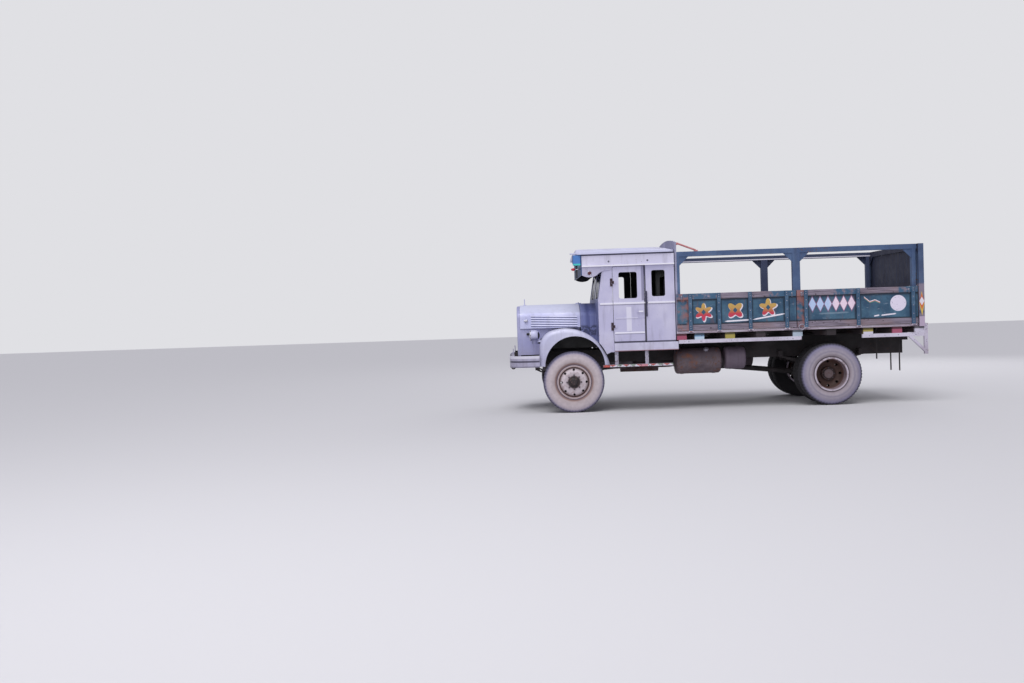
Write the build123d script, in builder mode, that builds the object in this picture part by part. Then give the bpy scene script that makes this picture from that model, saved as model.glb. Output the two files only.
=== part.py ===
from build123d import *
import math
import os

# Bonneted cargo lorry with a crew-depth cab and an open drop-side body, standing level.
# Millimetres. The front is -X, up is +Z and the left side is -Y. The origin is on the
# ground, under the middle of the length and width.
os.makedirs("parts", exist_ok=True)

# Driving sizes of the whole lorry
wheelbase = 4225
front_overhang = 1070
rear_overhang = 1575
front_end = -(front_overhang + wheelbase + rear_overhang) / 2
rear_end = -front_end
front_axle_x = front_end + front_overhang
rear_axle_x = front_axle_x + wheelbase

# Clearances and gauges used in many places
seat_gap = 0.3
pin_gap = 0.4
run_gap = 7
sheet = 6
sheet_seam = 6

# Tyres and wheels
tyre_radius = 509
tyre_width = 250
tread_width = 192
axle_z = tyre_radius
rim_seat_radius = 257
rim_flange_radius = 278
rim_gauge = 8
rim_half_width = 110
front_track = 1930
rear_twin_track = 1725
twin_spacing = 285
disc_gauge = 12
hand_holes = 8
front_drum_radius = 200
rear_drum_radius = 208
drum_wall = 15

# Axles and steering
kingpin_spacing = 1620
kingpin_radius = 18
front_spindle_radius = 30
rear_spindle_radius = 44
steering_arm_length = 200
tie_rod_radius = 19
tie_rod_eye_height = 30
ball_pin_radius = 10

# Ladder frame
frame_width = 860
rail_height = 220
rail_flange = 75
rail_gauge = 8
frame_top = 1010
rail_front_x = front_axle_x - 985
rail_rear_x = front_axle_x + 5650

# Springs: leaf half spans, longest first
front_leaf_spans = (600, 600, 510, 420, 330, 240, 160, 100)
rear_leaf_spans = (680, 680, 590, 500, 410, 330, 250, 180, 120)
front_leaf_gauge = 11
rear_leaf_gauge = 14
front_spring_width = 76
rear_spring_width = 90
front_spring_y = 390
rear_spring_y = 506
front_spring_rise = 135
rear_spring_rise = 90
spring_eye_radius = 26
spring_pin_radius = 14

# Front end
bonnet_front_x = front_axle_x - 870
bonnet_rear_x = front_axle_x + 160
bonnet_base_z = 1410
bonnet_front_half = 470
bonnet_rear_half = 555
bonnet_lean = 30
bonnet_shoulder_z = 1650
bonnet_top_z = 1818
bonnet_hinge_z = 1831
bonnet_hinge_radius = 8
nose_front_x = front_axle_x - 924
nose_base_z = 935
nose_half = 452
fender_inner_y = 560
fender_outer_y = 1080
fender_round = 75
fender_base_z = 780
arch_radius = 494
arch_centre_x = front_axle_x + 25
arch_centre_z = 775
lamp_pod_y = 762
lamp_pod_z = 1296
lamp_pod_radius = 90
lamp_pod_front_x = front_axle_x - 690
lamp_pod_barrel = 60
bumper_half_width = 1098
bumper_base_z = 773
bumper_height = 192
bumper_bow = 30

# Cab
cab_half_width = 1080
cab_wall = 45
cab_front_x = front_axle_x + 436
cab_rear_x = front_axle_x + 1698
cab_floor_z = 1100
scuttle_z = 1850
cab_eaves_z = 2413
windscreen_set_back = 89
belt_z = 1785
sill_base_z = 997
sill_top_z = 1130
sill_proud = 40
sill_front_x = front_axle_x + 684
door_front_x = front_axle_x + 684
door_width = 519
door_base_z = 1157
door_top_z = cab_eaves_z - 23
door_hinge_x = front_axle_x + 670
door_hinge_y = 1093
door_hinge_radius = 11
door_hinge_height = 130
door_hinge_levels = (1406, cab_eaves_z - 278)
roof_front_x = front_axle_x + 183
roof_wall_height = 190
roof_cap_height = 98
roof_eave_proud = 40
sill_overrun = 35
visor_gauge = 20
roof_lamp_outer_y = 1090
roof_lamp_inner_y = 985

# Cargo body
body_front_x = front_axle_x + 1712
floor_top_z = 1290
floor_plank = 40
floor_half_width = 1100
bearer_height = 100
bearer_width = 155
bearer_half_length = 1130
rear_board_reach = 40
gate_gauge = 35
gate_stiffener_proud = 30
gate_stiffener_width = 55
gate_base_z = 1300
gate_top_z = 1905
gate_hinge_reach = 72
gate_hinge_z = 1282
gate_hinge_radius = 11
gate_pin_radius = 7
gate_knuckle_length = 40
gate_lug_length = 15
gate_plank_height = 98
gate_seam = 14
pillar_depth = 80
top_rail_height = 80
top_rail_z = 2600
post_depth = 87
post_width = 90
headboard_gauge = 30
headboard_side_z = 2760
headboard_crown_z = 2850

# Places that follow from the sizes above
rail_outer_y = frame_width / 2
rail_inner_y = rail_outer_y - rail_flange
rail_web_y = rail_outer_y - rail_gauge
frame_base_z = frame_top - rail_height
kingpin_y = kingpin_spacing / 2
front_wheel_y = front_track / 2
rear_wheel_y = rear_twin_track / 2
cab_inner_y = cab_half_width - cab_wall
floor_base_z = floor_top_z - floor_plank
gate_inner_y = floor_half_width
roof_wall_top_z = cab_eaves_z + roof_wall_height
roof_top_z = roof_wall_top_z + roof_cap_height
gate_length_end_x = rear_end - rear_board_reach - gate_hinge_radius - gate_hinge_reach
post_rear_x = gate_length_end_x + gate_gauge + gate_stiffener_proud
post_front_x = post_rear_x - post_depth
post_outer_y = gate_inner_y + gate_gauge + gate_stiffener_proud
post_inner_y = post_outer_y - post_width
door_rear_x = door_front_x + door_width


def box(x, y, z, mode=Mode.ADD):
    """The block between two values on each axis."""
    with BuildSketch(Plane.XY.offset(z[0])) as base:
        with Locations(((x[0] + x[1]) / 2, (y[0] + y[1]) / 2)):
            Rectangle(x[1] - x[0], y[1] - y[0])
    extrude(base.sketch, amount=z[1] - z[0], mode=mode)


def side_cut(y, x_centre, z_centre, width, height, depth, corner, mode=Mode.SUBTRACT):
    """A round-cornered block seen from the side, from the left-hand plane at y going outwards."""
    with BuildSketch(Plane.XZ.offset(y)) as window:
        with Locations((x_centre, z_centre)):
            RectangleRounded(width, height, corner)
    extrude(window.sketch, amount=depth, mode=mode)


def rod_along(plane, radius, length, mode=Mode.ADD):
    """A round bar that starts on a plane and runs along its normal."""
    with BuildSketch(plane) as end:
        Circle(radius)
    extrude(end.sketch, amount=length, mode=mode)


def across(x, y, z):
    """The plane at a point that faces the left side."""
    return Plane(origin=(x, y, z), x_dir=(1, 0, 0), z_dir=(0, -1, 0))


def write(piece, node):
    """Labels a finished piece and writes it under its node's name."""
    piece.part.label = node
    export_step(piece.part, f"parts/{node}.step")


def write_mirrored(piece, node):
    """Writes the right-hand copy of a left-hand piece."""
    with BuildPart() as copy:
        mirror(piece.part, about=Plane.XZ)
    write(copy, node)


# Tyres: a hollow casing turned about the wheel's axis
def wheel_plane(x, y):
    """Local x points out of the left side and local y points up, at a wheel's middle."""
    return Plane(origin=(x, -y, axle_z), x_dir=(0, -1, 0), z_dir=(-1, 0, 0))


def wheel_axis(x):
    return Axis((x, 0, axle_z), (0, 1, 0))


tyre_bead_width = 2 * rim_half_width - 20
tyre_bore = rim_seat_radius + seat_gap
casing_wall = 24


def tyre_outline(middle):
    """Tread, shoulders and bulged sidewalls outside, three straight faces inside."""
    tread, bulge, bead = tread_width / 2, tyre_width / 2, tyre_bead_width / 2
    shoulder, widest, bead_top = tyre_radius - 30, tyre_radius - 118, rim_flange_radius + 3
    with BuildLine() as outline:
        ThreePointArc(
            (middle - tread, tyre_radius - 7), (middle, tyre_radius), (middle + tread, tyre_radius - 7)
        )
        for side in (-1, 1):
            Line((middle + side * tread, tyre_radius - 7), (middle + side * (tread + 15), shoulder))
            ThreePointArc(
                (middle + side * (tread + 15), shoulder),
                (middle + side * bulge, widest),
                (middle + side * bead, bead_top),
            )
            Line((middle + side * bead, bead_top), (middle + side * bead, tyre_bore))
            Line((middle + side * bead, tyre_bore), (middle + side * (bead - casing_wall), tyre_bore))
            Line(
                (middle + side * (bead - casing_wall), tyre_bore),
                (middle + side * (tread - 5), tyre_radius - 40),
            )
        Line((middle - tread + 5, tyre_radius - 40), (middle + tread - 5, tyre_radius - 40))
    make_face(outline.edges())


with BuildPart() as front_tyre_left:
    with BuildSketch(wheel_plane(front_axle_x, front_wheel_y)):
        tyre_outline(0)
    revolve(axis=wheel_axis(front_axle_x))
write(front_tyre_left, "front_tyre_left")
write_mirrored(front_tyre_left, "front_tyre_right")

with BuildPart() as rear_tyres_left:
    for middle in (-twin_spacing / 2, twin_spacing / 2):
        with BuildSketch(wheel_plane(rear_axle_x, rear_wheel_y)):
            tyre_outline(middle)
        revolve(axis=wheel_axis(rear_axle_x))
write(rear_tyres_left, "rear_tyres_left")
write_mirrored(rear_tyres_left, "rear_tyres_right")


# Wheels: rim, pressed disc, hub and brake drum, turned in one outline
def turned(*points):
    """A closed straight-sided outline of (out along the axle, radius) points."""
    with BuildLine() as outline:
        Polyline(*points, close=True)
    make_face(outline.edges())


def rim_outline(middle):
    barrel, flange, inner = rim_seat_radius, rim_flange_radius, rim_seat_radius - rim_gauge
    lip = rim_half_width - tyre_bead_width / 2 - seat_gap
    edge = rim_half_width
    turned(
        (middle - edge, inner),
        (middle - edge, flange),
        (middle - edge + lip, flange),
        (middle - edge + lip, barrel),
        (middle + edge - lip, barrel),
        (middle + edge - lip, flange),
        (middle + edge, flange),
        (middle + edge, inner),
    )


def dished_disc(weld_out, face_out, face_radius, bulge):
    """A disc from the rim's inside to a flat face, with a curved cone between them."""
    weld_radius = rim_seat_radius - rim_gauge / 2
    step = disc_gauge if face_out > weld_out else -disc_gauge
    mid_out, mid_radius = (weld_out + face_out) / 2, (weld_radius + face_radius) / 2
    with BuildLine() as outline:
        Line((face_out, hub_radius - 5), (face_out, face_radius))
        ThreePointArc(
            (face_out, face_radius), (mid_out + bulge, mid_radius + abs(bulge)), (weld_out, weld_radius)
        )
        Line((weld_out, weld_radius), (weld_out - 1.3 * step, weld_radius))
        ThreePointArc(
            (weld_out - 1.3 * step, weld_radius),
            (mid_out + bulge - step, mid_radius + abs(bulge) - disc_gauge / 2),
            (face_out - step, face_radius - disc_gauge / 2),
        )
        Line((face_out - step, face_radius - disc_gauge / 2), (face_out - step, hub_radius - 5))
        Line((face_out - step, hub_radius - 5), (face_out, hub_radius - 5))
    make_face(outline.edges())


def drum_outline(open_out, closed_out, radius):
    turned(
        (open_out, radius),
        (closed_out, radius),
        (closed_out, hub_radius - 5),
        (closed_out - disc_gauge, hub_radius - 5),
        (closed_out - disc_gauge, radius - drum_wall),
        (open_out, radius - drum_wall),
    )


hub_radius = 78
front_drum_open = -118
front_hub_inner = -60
front_face_out = 124
front_hub_out = 172
front_spindle_out = 68
with BuildPart() as front_wheel_left:
    with BuildSketch(wheel_plane(front_axle_x, front_wheel_y)):
        rim_outline(0)
        dished_disc(34, front_face_out, 158, 16)
        drum_outline(front_drum_open, 0, front_drum_radius)
        turned(
            (front_hub_inner, front_spindle_radius + pin_gap),
            (front_hub_inner, hub_radius),
            (front_face_out, hub_radius),
            (front_face_out + 6, 64),
            (front_hub_out - 12, 60),
            (front_hub_out, 44),
            (front_hub_out, 0),
            (front_spindle_out + 2, 0),
            (front_spindle_out + 2, front_spindle_radius + pin_gap),
        )
    revolve(axis=wheel_axis(front_axle_x))
    with BuildSketch(across(front_axle_x, -front_wheel_y - 20, axle_z)) as holes:
        with PolarLocations(205, hand_holes):
            Circle(20)
    extrude(holes.sketch, amount=110, mode=Mode.SUBTRACT)
write(front_wheel_left, "front_wheel_left")
write_mirrored(front_wheel_left, "front_wheel_right")

rear_drum_open = -245
rear_hub_inner = -130
rear_hub_out = 78
rear_cap_out = 102
rear_spindle_out = 60
with BuildPart() as rear_wheels_left:
    with BuildSketch(wheel_plane(rear_axle_x, rear_wheel_y)):
        for middle in (-twin_spacing / 2, twin_spacing / 2):
            rim_outline(middle)
        dished_disc(110, disc_gauge, 150, -14)
        dished_disc(-110, -disc_gauge, 150, 14)
        drum_outline(rear_drum_open, -45, rear_drum_radius)
        turned(
            (rear_hub_inner, rear_spindle_radius + pin_gap),
            (rear_hub_inner, hub_radius + 12),
            (-disc_gauge, hub_radius + 12),
            (-disc_gauge, 152),
            (disc_gauge, 152),
            (disc_gauge, 118),
            (rear_hub_out - 8, 112),
            (rear_hub_out, 104),
            (rear_hub_out, 80),
            (rear_cap_out - 4, 78),
            (rear_cap_out, 70),
            (rear_cap_out, 0),
            (rear_spindle_out + 2, 0),
            (rear_spindle_out + 2, rear_spindle_radius + pin_gap),
        )
    revolve(axis=wheel_axis(rear_axle_x))
    with BuildSketch(across(rear_axle_x, -rear_wheel_y + 110, axle_z)) as holes:
        with PolarLocations(200, hand_holes):
            Circle(22)
    extrude(holes.sketch, amount=220, mode=Mode.SUBTRACT)
write(rear_wheels_left, "rear_wheels_left")
write_mirrored(rear_wheels_left, "rear_wheels_right")


# Leaf springs: ring sectors about one centre over the axle, with rolled eyes
class Spring:
    """The side view of one leaf pack, from its seat, leaves and rise."""

    def __init__(self, x, seat_z, gauge, spans, rise):
        self.x, self.gauge, self.spans = x, gauge, spans
        self.top_z = seat_z + gauge * len(spans)
        self.radius = (spans[0] ** 2 + rise**2) / (2 * rise)
        self.centre_z = self.top_z + self.radius
        eye_turn = math.asin(spans[0] / self.radius)
        eye_reach = self.radius + gauge - spring_eye_radius
        self.eye_x = eye_reach * math.sin(eye_turn)
        self.eye_z = self.centre_z - eye_reach * math.cos(eye_turn)

    def point(self, radius, turn):
        return self.x + radius * math.sin(turn), self.centre_z - radius * math.cos(turn)

    def leaves(self):
        for number, span in enumerate(self.spans):
            upper = self.radius + number * self.gauge
            lower = upper + self.gauge
            turn = math.asin(span / upper)
            with BuildLine() as leaf:
                ThreePointArc(self.point(upper, -turn), self.point(upper, 0), self.point(upper, turn))
                Line(self.point(upper, turn), self.point(lower, turn))
                ThreePointArc(self.point(lower, turn), self.point(lower, 0), self.point(lower, -turn))
                Line(self.point(lower, -turn), self.point(upper, -turn))
            make_face(leaf.edges())
        with Locations((self.x - self.eye_x, self.eye_z), (self.x + self.eye_x, self.eye_z)):
            Circle(spring_eye_radius)
            Circle(spring_pin_radius + pin_gap, mode=Mode.SUBTRACT)


front_seat_z = 482
rear_seat_z = 596
front_spring = Spring(front_axle_x, front_seat_z, front_leaf_gauge, front_leaf_spans, front_spring_rise)
rear_spring = Spring(rear_axle_x, rear_seat_z, rear_leaf_gauge, rear_leaf_spans, rear_spring_rise)
clamp_bolt_radius = 9
clamp_half_length = 55
clamp_plate = 14

with BuildPart() as leaf_springs:
    for spring, middle_y, width, seat_z in (
        (front_spring, front_spring_y, front_spring_width, front_seat_z),
        (rear_spring, rear_spring_y, rear_spring_width, rear_seat_z),
    ):
        with BuildSketch(Plane.XZ.offset(middle_y - width / 2)) as pack:
            spring.leaves()
        extrude(pack.sketch, amount=width)
        clamp_y = width / 2 + clamp_bolt_radius + 2
        box(
            (spring.x - clamp_half_length - 14, spring.x + clamp_half_length + 14),
            (-middle_y - clamp_y - 12, -middle_y + clamp_y + 12),
            (spring.top_z, spring.top_z + clamp_plate),
        )
        with BuildSketch(Plane.XY.offset(seat_z)) as bolts:
            for side in (-clamp_y, clamp_y):
                with Locations(
                    (spring.x - clamp_half_length, -middle_y + side),
                    (spring.x + clamp_half_length, -middle_y + side),
                ):
                    Circle(clamp_bolt_radius)
        extrude(bolts.sketch, amount=spring.top_z + clamp_plate + 16 - seat_z)
    mirror(about=Plane.XZ)
write(leaf_springs, "leaf_springs")


# Ladder frame: two channels, then the cross members with the tow eyes, then spring hangers
# Cross members: place behind the front axle, lowest level, highest level
cross_member_places = (
    (-930, 798, 930),
    (-620, 798, 860),
    (1480, 900, 1002),
    (2250, 900, 1002),
    (3050, 798, 1002),
    (3900, 798, 1002),
    (4820, 798, 1002),
    (5590, 798, 1002),
)
cross_member_length = 90
hanger_cheek = 10
tow_eye_bore = 20
tow_eye_gauge = 30
front_tow_x = rail_front_x - 30
front_tow_z = 735
rear_tow_x = rail_rear_x + 45
rear_tow_z = 880


def spring_hanger(spring, end, middle_y, width, top_z):
    """Two cheeks and a pin round a spring eye, closed at the top."""
    x, z = spring.x + end * spring.eye_x, spring.eye_z
    reach = spring_eye_radius + 12
    half = width / 2 + 2
    inner_y = min(middle_y - half - hanger_cheek, rail_outer_y)
    box((x - reach, x + reach), (-middle_y - half - hanger_cheek, -inner_y), (z - reach + 8, top_z))
    box((x - reach, x + reach), (-middle_y - half, -middle_y + half),
        (z - reach + 8, z + spring_eye_radius + 8), mode=Mode.SUBTRACT)
    rod_along(across(x, -middle_y + half + 2, z), spring_pin_radius, 2 * half + 4)


with BuildPart() as ladder_frame:
    with BuildSketch(Plane.YZ.offset(rail_front_x)) as channel:
        with Locations((-rail_outer_y + rail_flange / 2, frame_base_z + rail_height / 2)):
            Rectangle(rail_flange, rail_height)
        with Locations((-rail_inner_y - rail_flange / 2 + rail_gauge, frame_base_z + rail_height / 2)):
            Rectangle(rail_flange, rail_height - 2 * rail_gauge, mode=Mode.SUBTRACT)
    extrude(channel.sketch, amount=rail_rear_x - rail_front_x)
    mirror(about=Plane.XZ)
write(ladder_frame, "ladder_frame")

with BuildPart() as spring_hangers:
    for end in (-1, 1):
        spring_hanger(front_spring, end, front_spring_y, front_spring_width, frame_base_z)
        spring_hanger(rear_spring, end, rear_spring_y, rear_spring_width, rear_spring.eye_z + 70)
    mirror(about=Plane.XZ)
write(spring_hangers, "spring_hangers")

with BuildPart() as cross_members:
    for place, low, high in cross_member_places:
        x = front_axle_x + place
        box((x - cross_member_length / 2, x + cross_member_length / 2), (-rail_web_y, rail_web_y),
            (low, high))
        box((x - cross_member_length / 2 + rail_gauge, x + cross_member_length / 2),
            (-rail_inner_y, rail_inner_y),
            (low + rail_gauge, high - rail_gauge), mode=Mode.SUBTRACT)
    with BuildSketch(Plane.XZ.offset(-tow_eye_gauge / 2)) as front_eye:
        with BuildLine():
            Polyline((front_tow_x - 8, frame_base_z + 30), (front_tow_x - 40, front_tow_z),
                     (front_tow_x, front_tow_z - 42), (front_tow_x + 40, front_tow_z),
                     (front_tow_x + 60, frame_base_z + 30), close=True)
        make_face()
        with Locations((front_tow_x, front_tow_z)):
            Circle(42)
            Circle(tow_eye_bore, mode=Mode.SUBTRACT)
    extrude(front_eye.sketch, amount=tow_eye_gauge)
    with BuildSketch(Plane.XY.offset(rear_tow_z)) as rear_eye:
        with Locations(((rear_tow_x + rail_rear_x - 104) / 2, 0)):
            Rectangle(rear_tow_x - rail_rear_x + 104, 84)
        with Locations((rear_tow_x, 0)):
            Circle(42)
            Circle(tow_eye_bore, mode=Mode.SUBTRACT)
    extrude(rear_eye.sketch, amount=tow_eye_gauge)
write(cross_members, "cross_members")

# Front axle beam: forged I section that drops between the spring seats
beam_depth = 100
beam_width = 84
beam_drop_z = 422
boss_radius = 38
boss_half_height = 54
beam_end_y = kingpin_y - 20
with BuildPart() as front_axle_beam:
    half = ((560, beam_drop_z + beam_depth / 2), (700, axle_z + 44), (beam_end_y, axle_z + 44),
            (beam_end_y, axle_z - 44), (720, axle_z - 44), (600, beam_drop_z - beam_depth / 2))
    with BuildSketch(Plane.YZ.offset(front_axle_x - beam_width / 2)) as beam_side:
        with BuildLine():
            Polyline(*half, *[(-y, z) for y, z in reversed(half)], close=True)
        make_face()
        fillet(beam_side.vertices().filter_by(lambda v: abs(v.X) < beam_end_y - 1), 40)
    extrude(beam_side.sketch, amount=beam_width)
    for face_x, side in ((front_axle_x - beam_width / 2, 1), (front_axle_x + beam_width / 2, -1)):
        for low_y, high_y in ((-560, -455), (-325, 325), (455, 560)):
            box(sorted((face_x, face_x + side * 30)), (low_y, high_y),
                (beam_drop_z - beam_depth / 2 + 18, beam_drop_z + beam_depth / 2 - 18), mode=Mode.SUBTRACT)
    for side in (-1, 1):
        seat_y = side * front_spring_y
        box((front_axle_x - 75, front_axle_x + 75), (seat_y - 70, seat_y + 70),
            (beam_drop_z + beam_depth / 2 - 5, front_seat_z))
        boss = Plane.XY.offset(axle_z - boss_half_height)
        boss.origin = (front_axle_x, side * kingpin_y, axle_z - boss_half_height)
        rod_along(boss, boss_radius, 2 * boss_half_height)
    for side in (-1, 1):
        bore = Plane(origin=(front_axle_x, side * kingpin_y, axle_z - boss_half_height - 1))
        rod_along(bore, kingpin_radius + pin_gap, 2 * boss_half_height + 2, mode=Mode.SUBTRACT)
write(front_axle_beam, "front_axle_beam")

# Steering knuckle: fork, king pin, brake backplate, spindle and steering arm
jaw_gap = 5
jaw_height = 28
knuckle_web_y = kingpin_y + 47
knuckle_flange_y = 882
backplate_y = 850
arm_top_z = axle_z - boss_half_height - jaw_gap
arm_height = 24
ball_pin_length = 46


def knuckle(arm_pin_radius):
    with BuildPart() as piece:
        for low in (axle_z + boss_half_height + jaw_gap, arm_top_z - jaw_height):
            with BuildSketch(Plane.XY.offset(low)) as jaw:
                with Locations((front_axle_x, -kingpin_y)):
                    Circle(boss_radius)
                with Locations((front_axle_x, -(kingpin_y + knuckle_flange_y) / 2)):
                    Rectangle(2 * boss_radius, knuckle_flange_y - kingpin_y)
            extrude(jaw.sketch, amount=jaw_height)
        box((front_axle_x - 48, front_axle_x + 48), (-knuckle_flange_y, -knuckle_web_y),
            (arm_top_z - jaw_height, axle_z + boss_half_height + jaw_gap + jaw_height))
        rod_along(Plane(origin=(front_axle_x, -kingpin_y, arm_top_z - jaw_height)), kingpin_radius,
                  2 * (boss_half_height + jaw_gap + jaw_height))
        rod_along(across(front_axle_x, -backplate_y - 1, axle_z), front_drum_radius - drum_wall - 5, 7)
        rod_along(across(front_axle_x, -knuckle_flange_y + 2, axle_z), front_spindle_radius,
                  front_wheel_y + front_spindle_out - knuckle_flange_y - 2)
        with BuildSketch(Plane.XY.offset(arm_top_z - jaw_height)) as arm:
            with Locations((front_axle_x, -kingpin_y)):
                Circle(boss_radius - 4)
            with Locations((front_axle_x + steering_arm_length, -kingpin_y)):
                Circle(22)
            make_hull()
        extrude(arm.sketch, amount=arm_height)
        rod_along(
            Plane(origin=(front_axle_x + steering_arm_length, -kingpin_y,
                          arm_top_z - jaw_height - ball_pin_length)),
            arm_pin_radius, ball_pin_length + 4)
    return piece


knuckle_left = knuckle(ball_pin_radius)
write(knuckle_left, "knuckle_left")
write_mirrored(knuckle_left, "knuckle_right")

# Tie rod behind the axle, with an eye on each knuckle's ball pin
tie_rod_z = arm_top_z - jaw_height - 8 - tie_rod_eye_height / 2
with BuildPart() as tie_rod:
    tie_x = front_axle_x + steering_arm_length
    rod_along(across(tie_x, kingpin_y, tie_rod_z), tie_rod_radius, kingpin_spacing)
    for side in (-1, 1):
        rod_along(Plane(origin=(tie_x, side * kingpin_y, tie_rod_z - tie_rod_eye_height / 2)), 27,
                  tie_rod_eye_height)
    for side, bore in ((-1, ball_pin_radius + pin_gap), (1, ball_pin_radius + 2 * pin_gap)):
        rod_along(Plane(origin=(tie_x, side * kingpin_y, tie_rod_z - 40)), bore, 80, mode=Mode.SUBTRACT)
write(tie_rod, "tie_rod")

# Rear axle: banjo housing, spring seats, pinion nose, backplates and spindles
banjo_radius = 205
axle_tube_radius = 68
pinion_nose = 335
with BuildPart() as rear_axle_housing:
    spindle_end_y = rear_wheel_y + rear_spindle_out
    with BuildSketch(Plane(origin=(rear_axle_x, 0, axle_z), x_dir=(0, -1, 0), z_dir=(-1, 0, 0))):
        with BuildLine():
            Line((-spindle_end_y, 0), (-spindle_end_y, rear_spindle_radius))
            Line((-spindle_end_y, rear_spindle_radius), (-600, rear_spindle_radius))
            Line((-600, rear_spindle_radius), (-600, axle_tube_radius))
            Line((-600, axle_tube_radius), (-260, axle_tube_radius + 8))
            ThreePointArc((-260, axle_tube_radius + 8), (0, banjo_radius), (260, axle_tube_radius + 8))
            Line((260, axle_tube_radius + 8), (600, axle_tube_radius))
            Line((600, axle_tube_radius), (600, rear_spindle_radius))
            Line((600, rear_spindle_radius), (spindle_end_y, rear_spindle_radius))
            Line((spindle_end_y, rear_spindle_radius), (spindle_end_y, 0))
            Line((spindle_end_y, 0), (-spindle_end_y, 0))
        make_face()
    revolve(axis=wheel_axis(rear_axle_x))
    with BuildSketch(Plane(origin=(rear_axle_x - 120, 0, axle_z), x_dir=(0, 1, 0),
                           z_dir=(-1, 0, 0))) as nose_root:
        Circle(130)
    with BuildSketch(
        Plane(origin=(rear_axle_x - pinion_nose + 15, 0, axle_z), x_dir=(0, 1, 0), z_dir=(-1, 0, 0))
    ) as nose_tip:
        Circle(62)
    loft([nose_root.sketch.face(), nose_tip.sketch.face()])
    rod_along(Plane(origin=(rear_axle_x - pinion_nose + 15, 0, axle_z), x_dir=(0, 1, 0),
                    z_dir=(-1, 0, 0)), 72, 15)
    for side in (-1, 1):
        seat_y = side * rear_spring_y
        box((rear_axle_x - 75, rear_axle_x + 75), (seat_y - 74, seat_y + 74), (axle_z - 40, rear_seat_z))
        plate_y = rear_wheel_y + rear_drum_open
        start_y = plate_y if side > 0 else -(plate_y - 8)
        rod_along(across(rear_axle_x, start_y - (4 if side > 0 else -4), axle_z),
                  rear_drum_radius - drum_wall - 5, 8)
write(rear_axle_housing, "rear_axle_housing")

# Engine block with sump, rocker cover and gearbox, on four arms in the frame
engine_x = (front_axle_x - 500, front_axle_x + 360)
engine_half_width = 235
gearbox_rear_x = front_axle_x + 1090
gearbox_z = 810
with BuildPart() as engine:
    with BuildSketch(Plane.YZ.offset(engine_x[0])) as block:
        with BuildLine():
            Polyline((-120, 660), (120, 660), (engine_half_width, 800), (engine_half_width, 1290),
                     (150, 1340),
                     (150, 1440), (-150, 1440), (-150, 1340), (-engine_half_width, 1290),
                     (-engine_half_width, 800), close=True)
        make_face()
    extrude(block.sketch, amount=engine_x[1] - engine_x[0])
    with BuildSketch(Plane.YZ.offset(engine_x[1] - 10)) as bell:
        with Locations((0, gearbox_z)):
            Circle(215)
    with BuildSketch(Plane.YZ.offset(engine_x[1] + 240)) as bell_small:
        with Locations((0, gearbox_z)):
            Circle(150)
    loft([bell.sketch.face(), bell_small.sketch.face()])
    with BuildSketch(Plane.YZ.offset(engine_x[1] + 238)) as gearbox:
        with Locations((0, gearbox_z)):
            RectangleRounded(300, 280, 50)
    extrude(gearbox.sketch, amount=gearbox_rear_x - 30 - engine_x[1] - 238)
    rod_along(Plane(origin=(gearbox_rear_x - 31, 0, gearbox_z), x_dir=(0, 1, 0), z_dir=(1, 0, 0)), 72, 31)
    for x in (front_axle_x - 380, front_axle_x + 250):
        box((x - 35, x + 35), (-rail_web_y, rail_web_y), (850, 890))
write(engine, "engine")

# Propeller shaft from the gearbox to the pinion nose
shaft_radius = 45
shaft_start = Vector(gearbox_rear_x + seat_gap, 0, gearbox_z)
shaft_end = Vector(rear_axle_x - pinion_nose - seat_gap, 0, axle_z)
with BuildPart() as propeller_shaft:
    run = shaft_end - shaft_start
    yoke = 90
    rod_along(Plane(origin=shaft_start, x_dir=(0, 1, 0), z_dir=(1, 0, 0)), 66, 14)
    rod_along(Plane(origin=shaft_start + Vector(13, 0, 0), x_dir=(0, 1, 0), z_dir=(1, 0, 0)), 40, yoke)
    rod_along(Plane(origin=shaft_start + run * (60 / run.length), x_dir=(0, 1, 0), z_dir=run), shaft_radius,
              run.length - 120)
    rod_along(Plane(origin=shaft_end - Vector(13 + yoke, 0, 0), x_dir=(0, 1, 0), z_dir=(1, 0, 0)), 40, yoke)
    rod_along(Plane(origin=shaft_end - Vector(14, 0, 0), x_dir=(0, 1, 0), z_dir=(1, 0, 0)), 66, 14)
write(propeller_shaft, "propeller_shaft")

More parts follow.
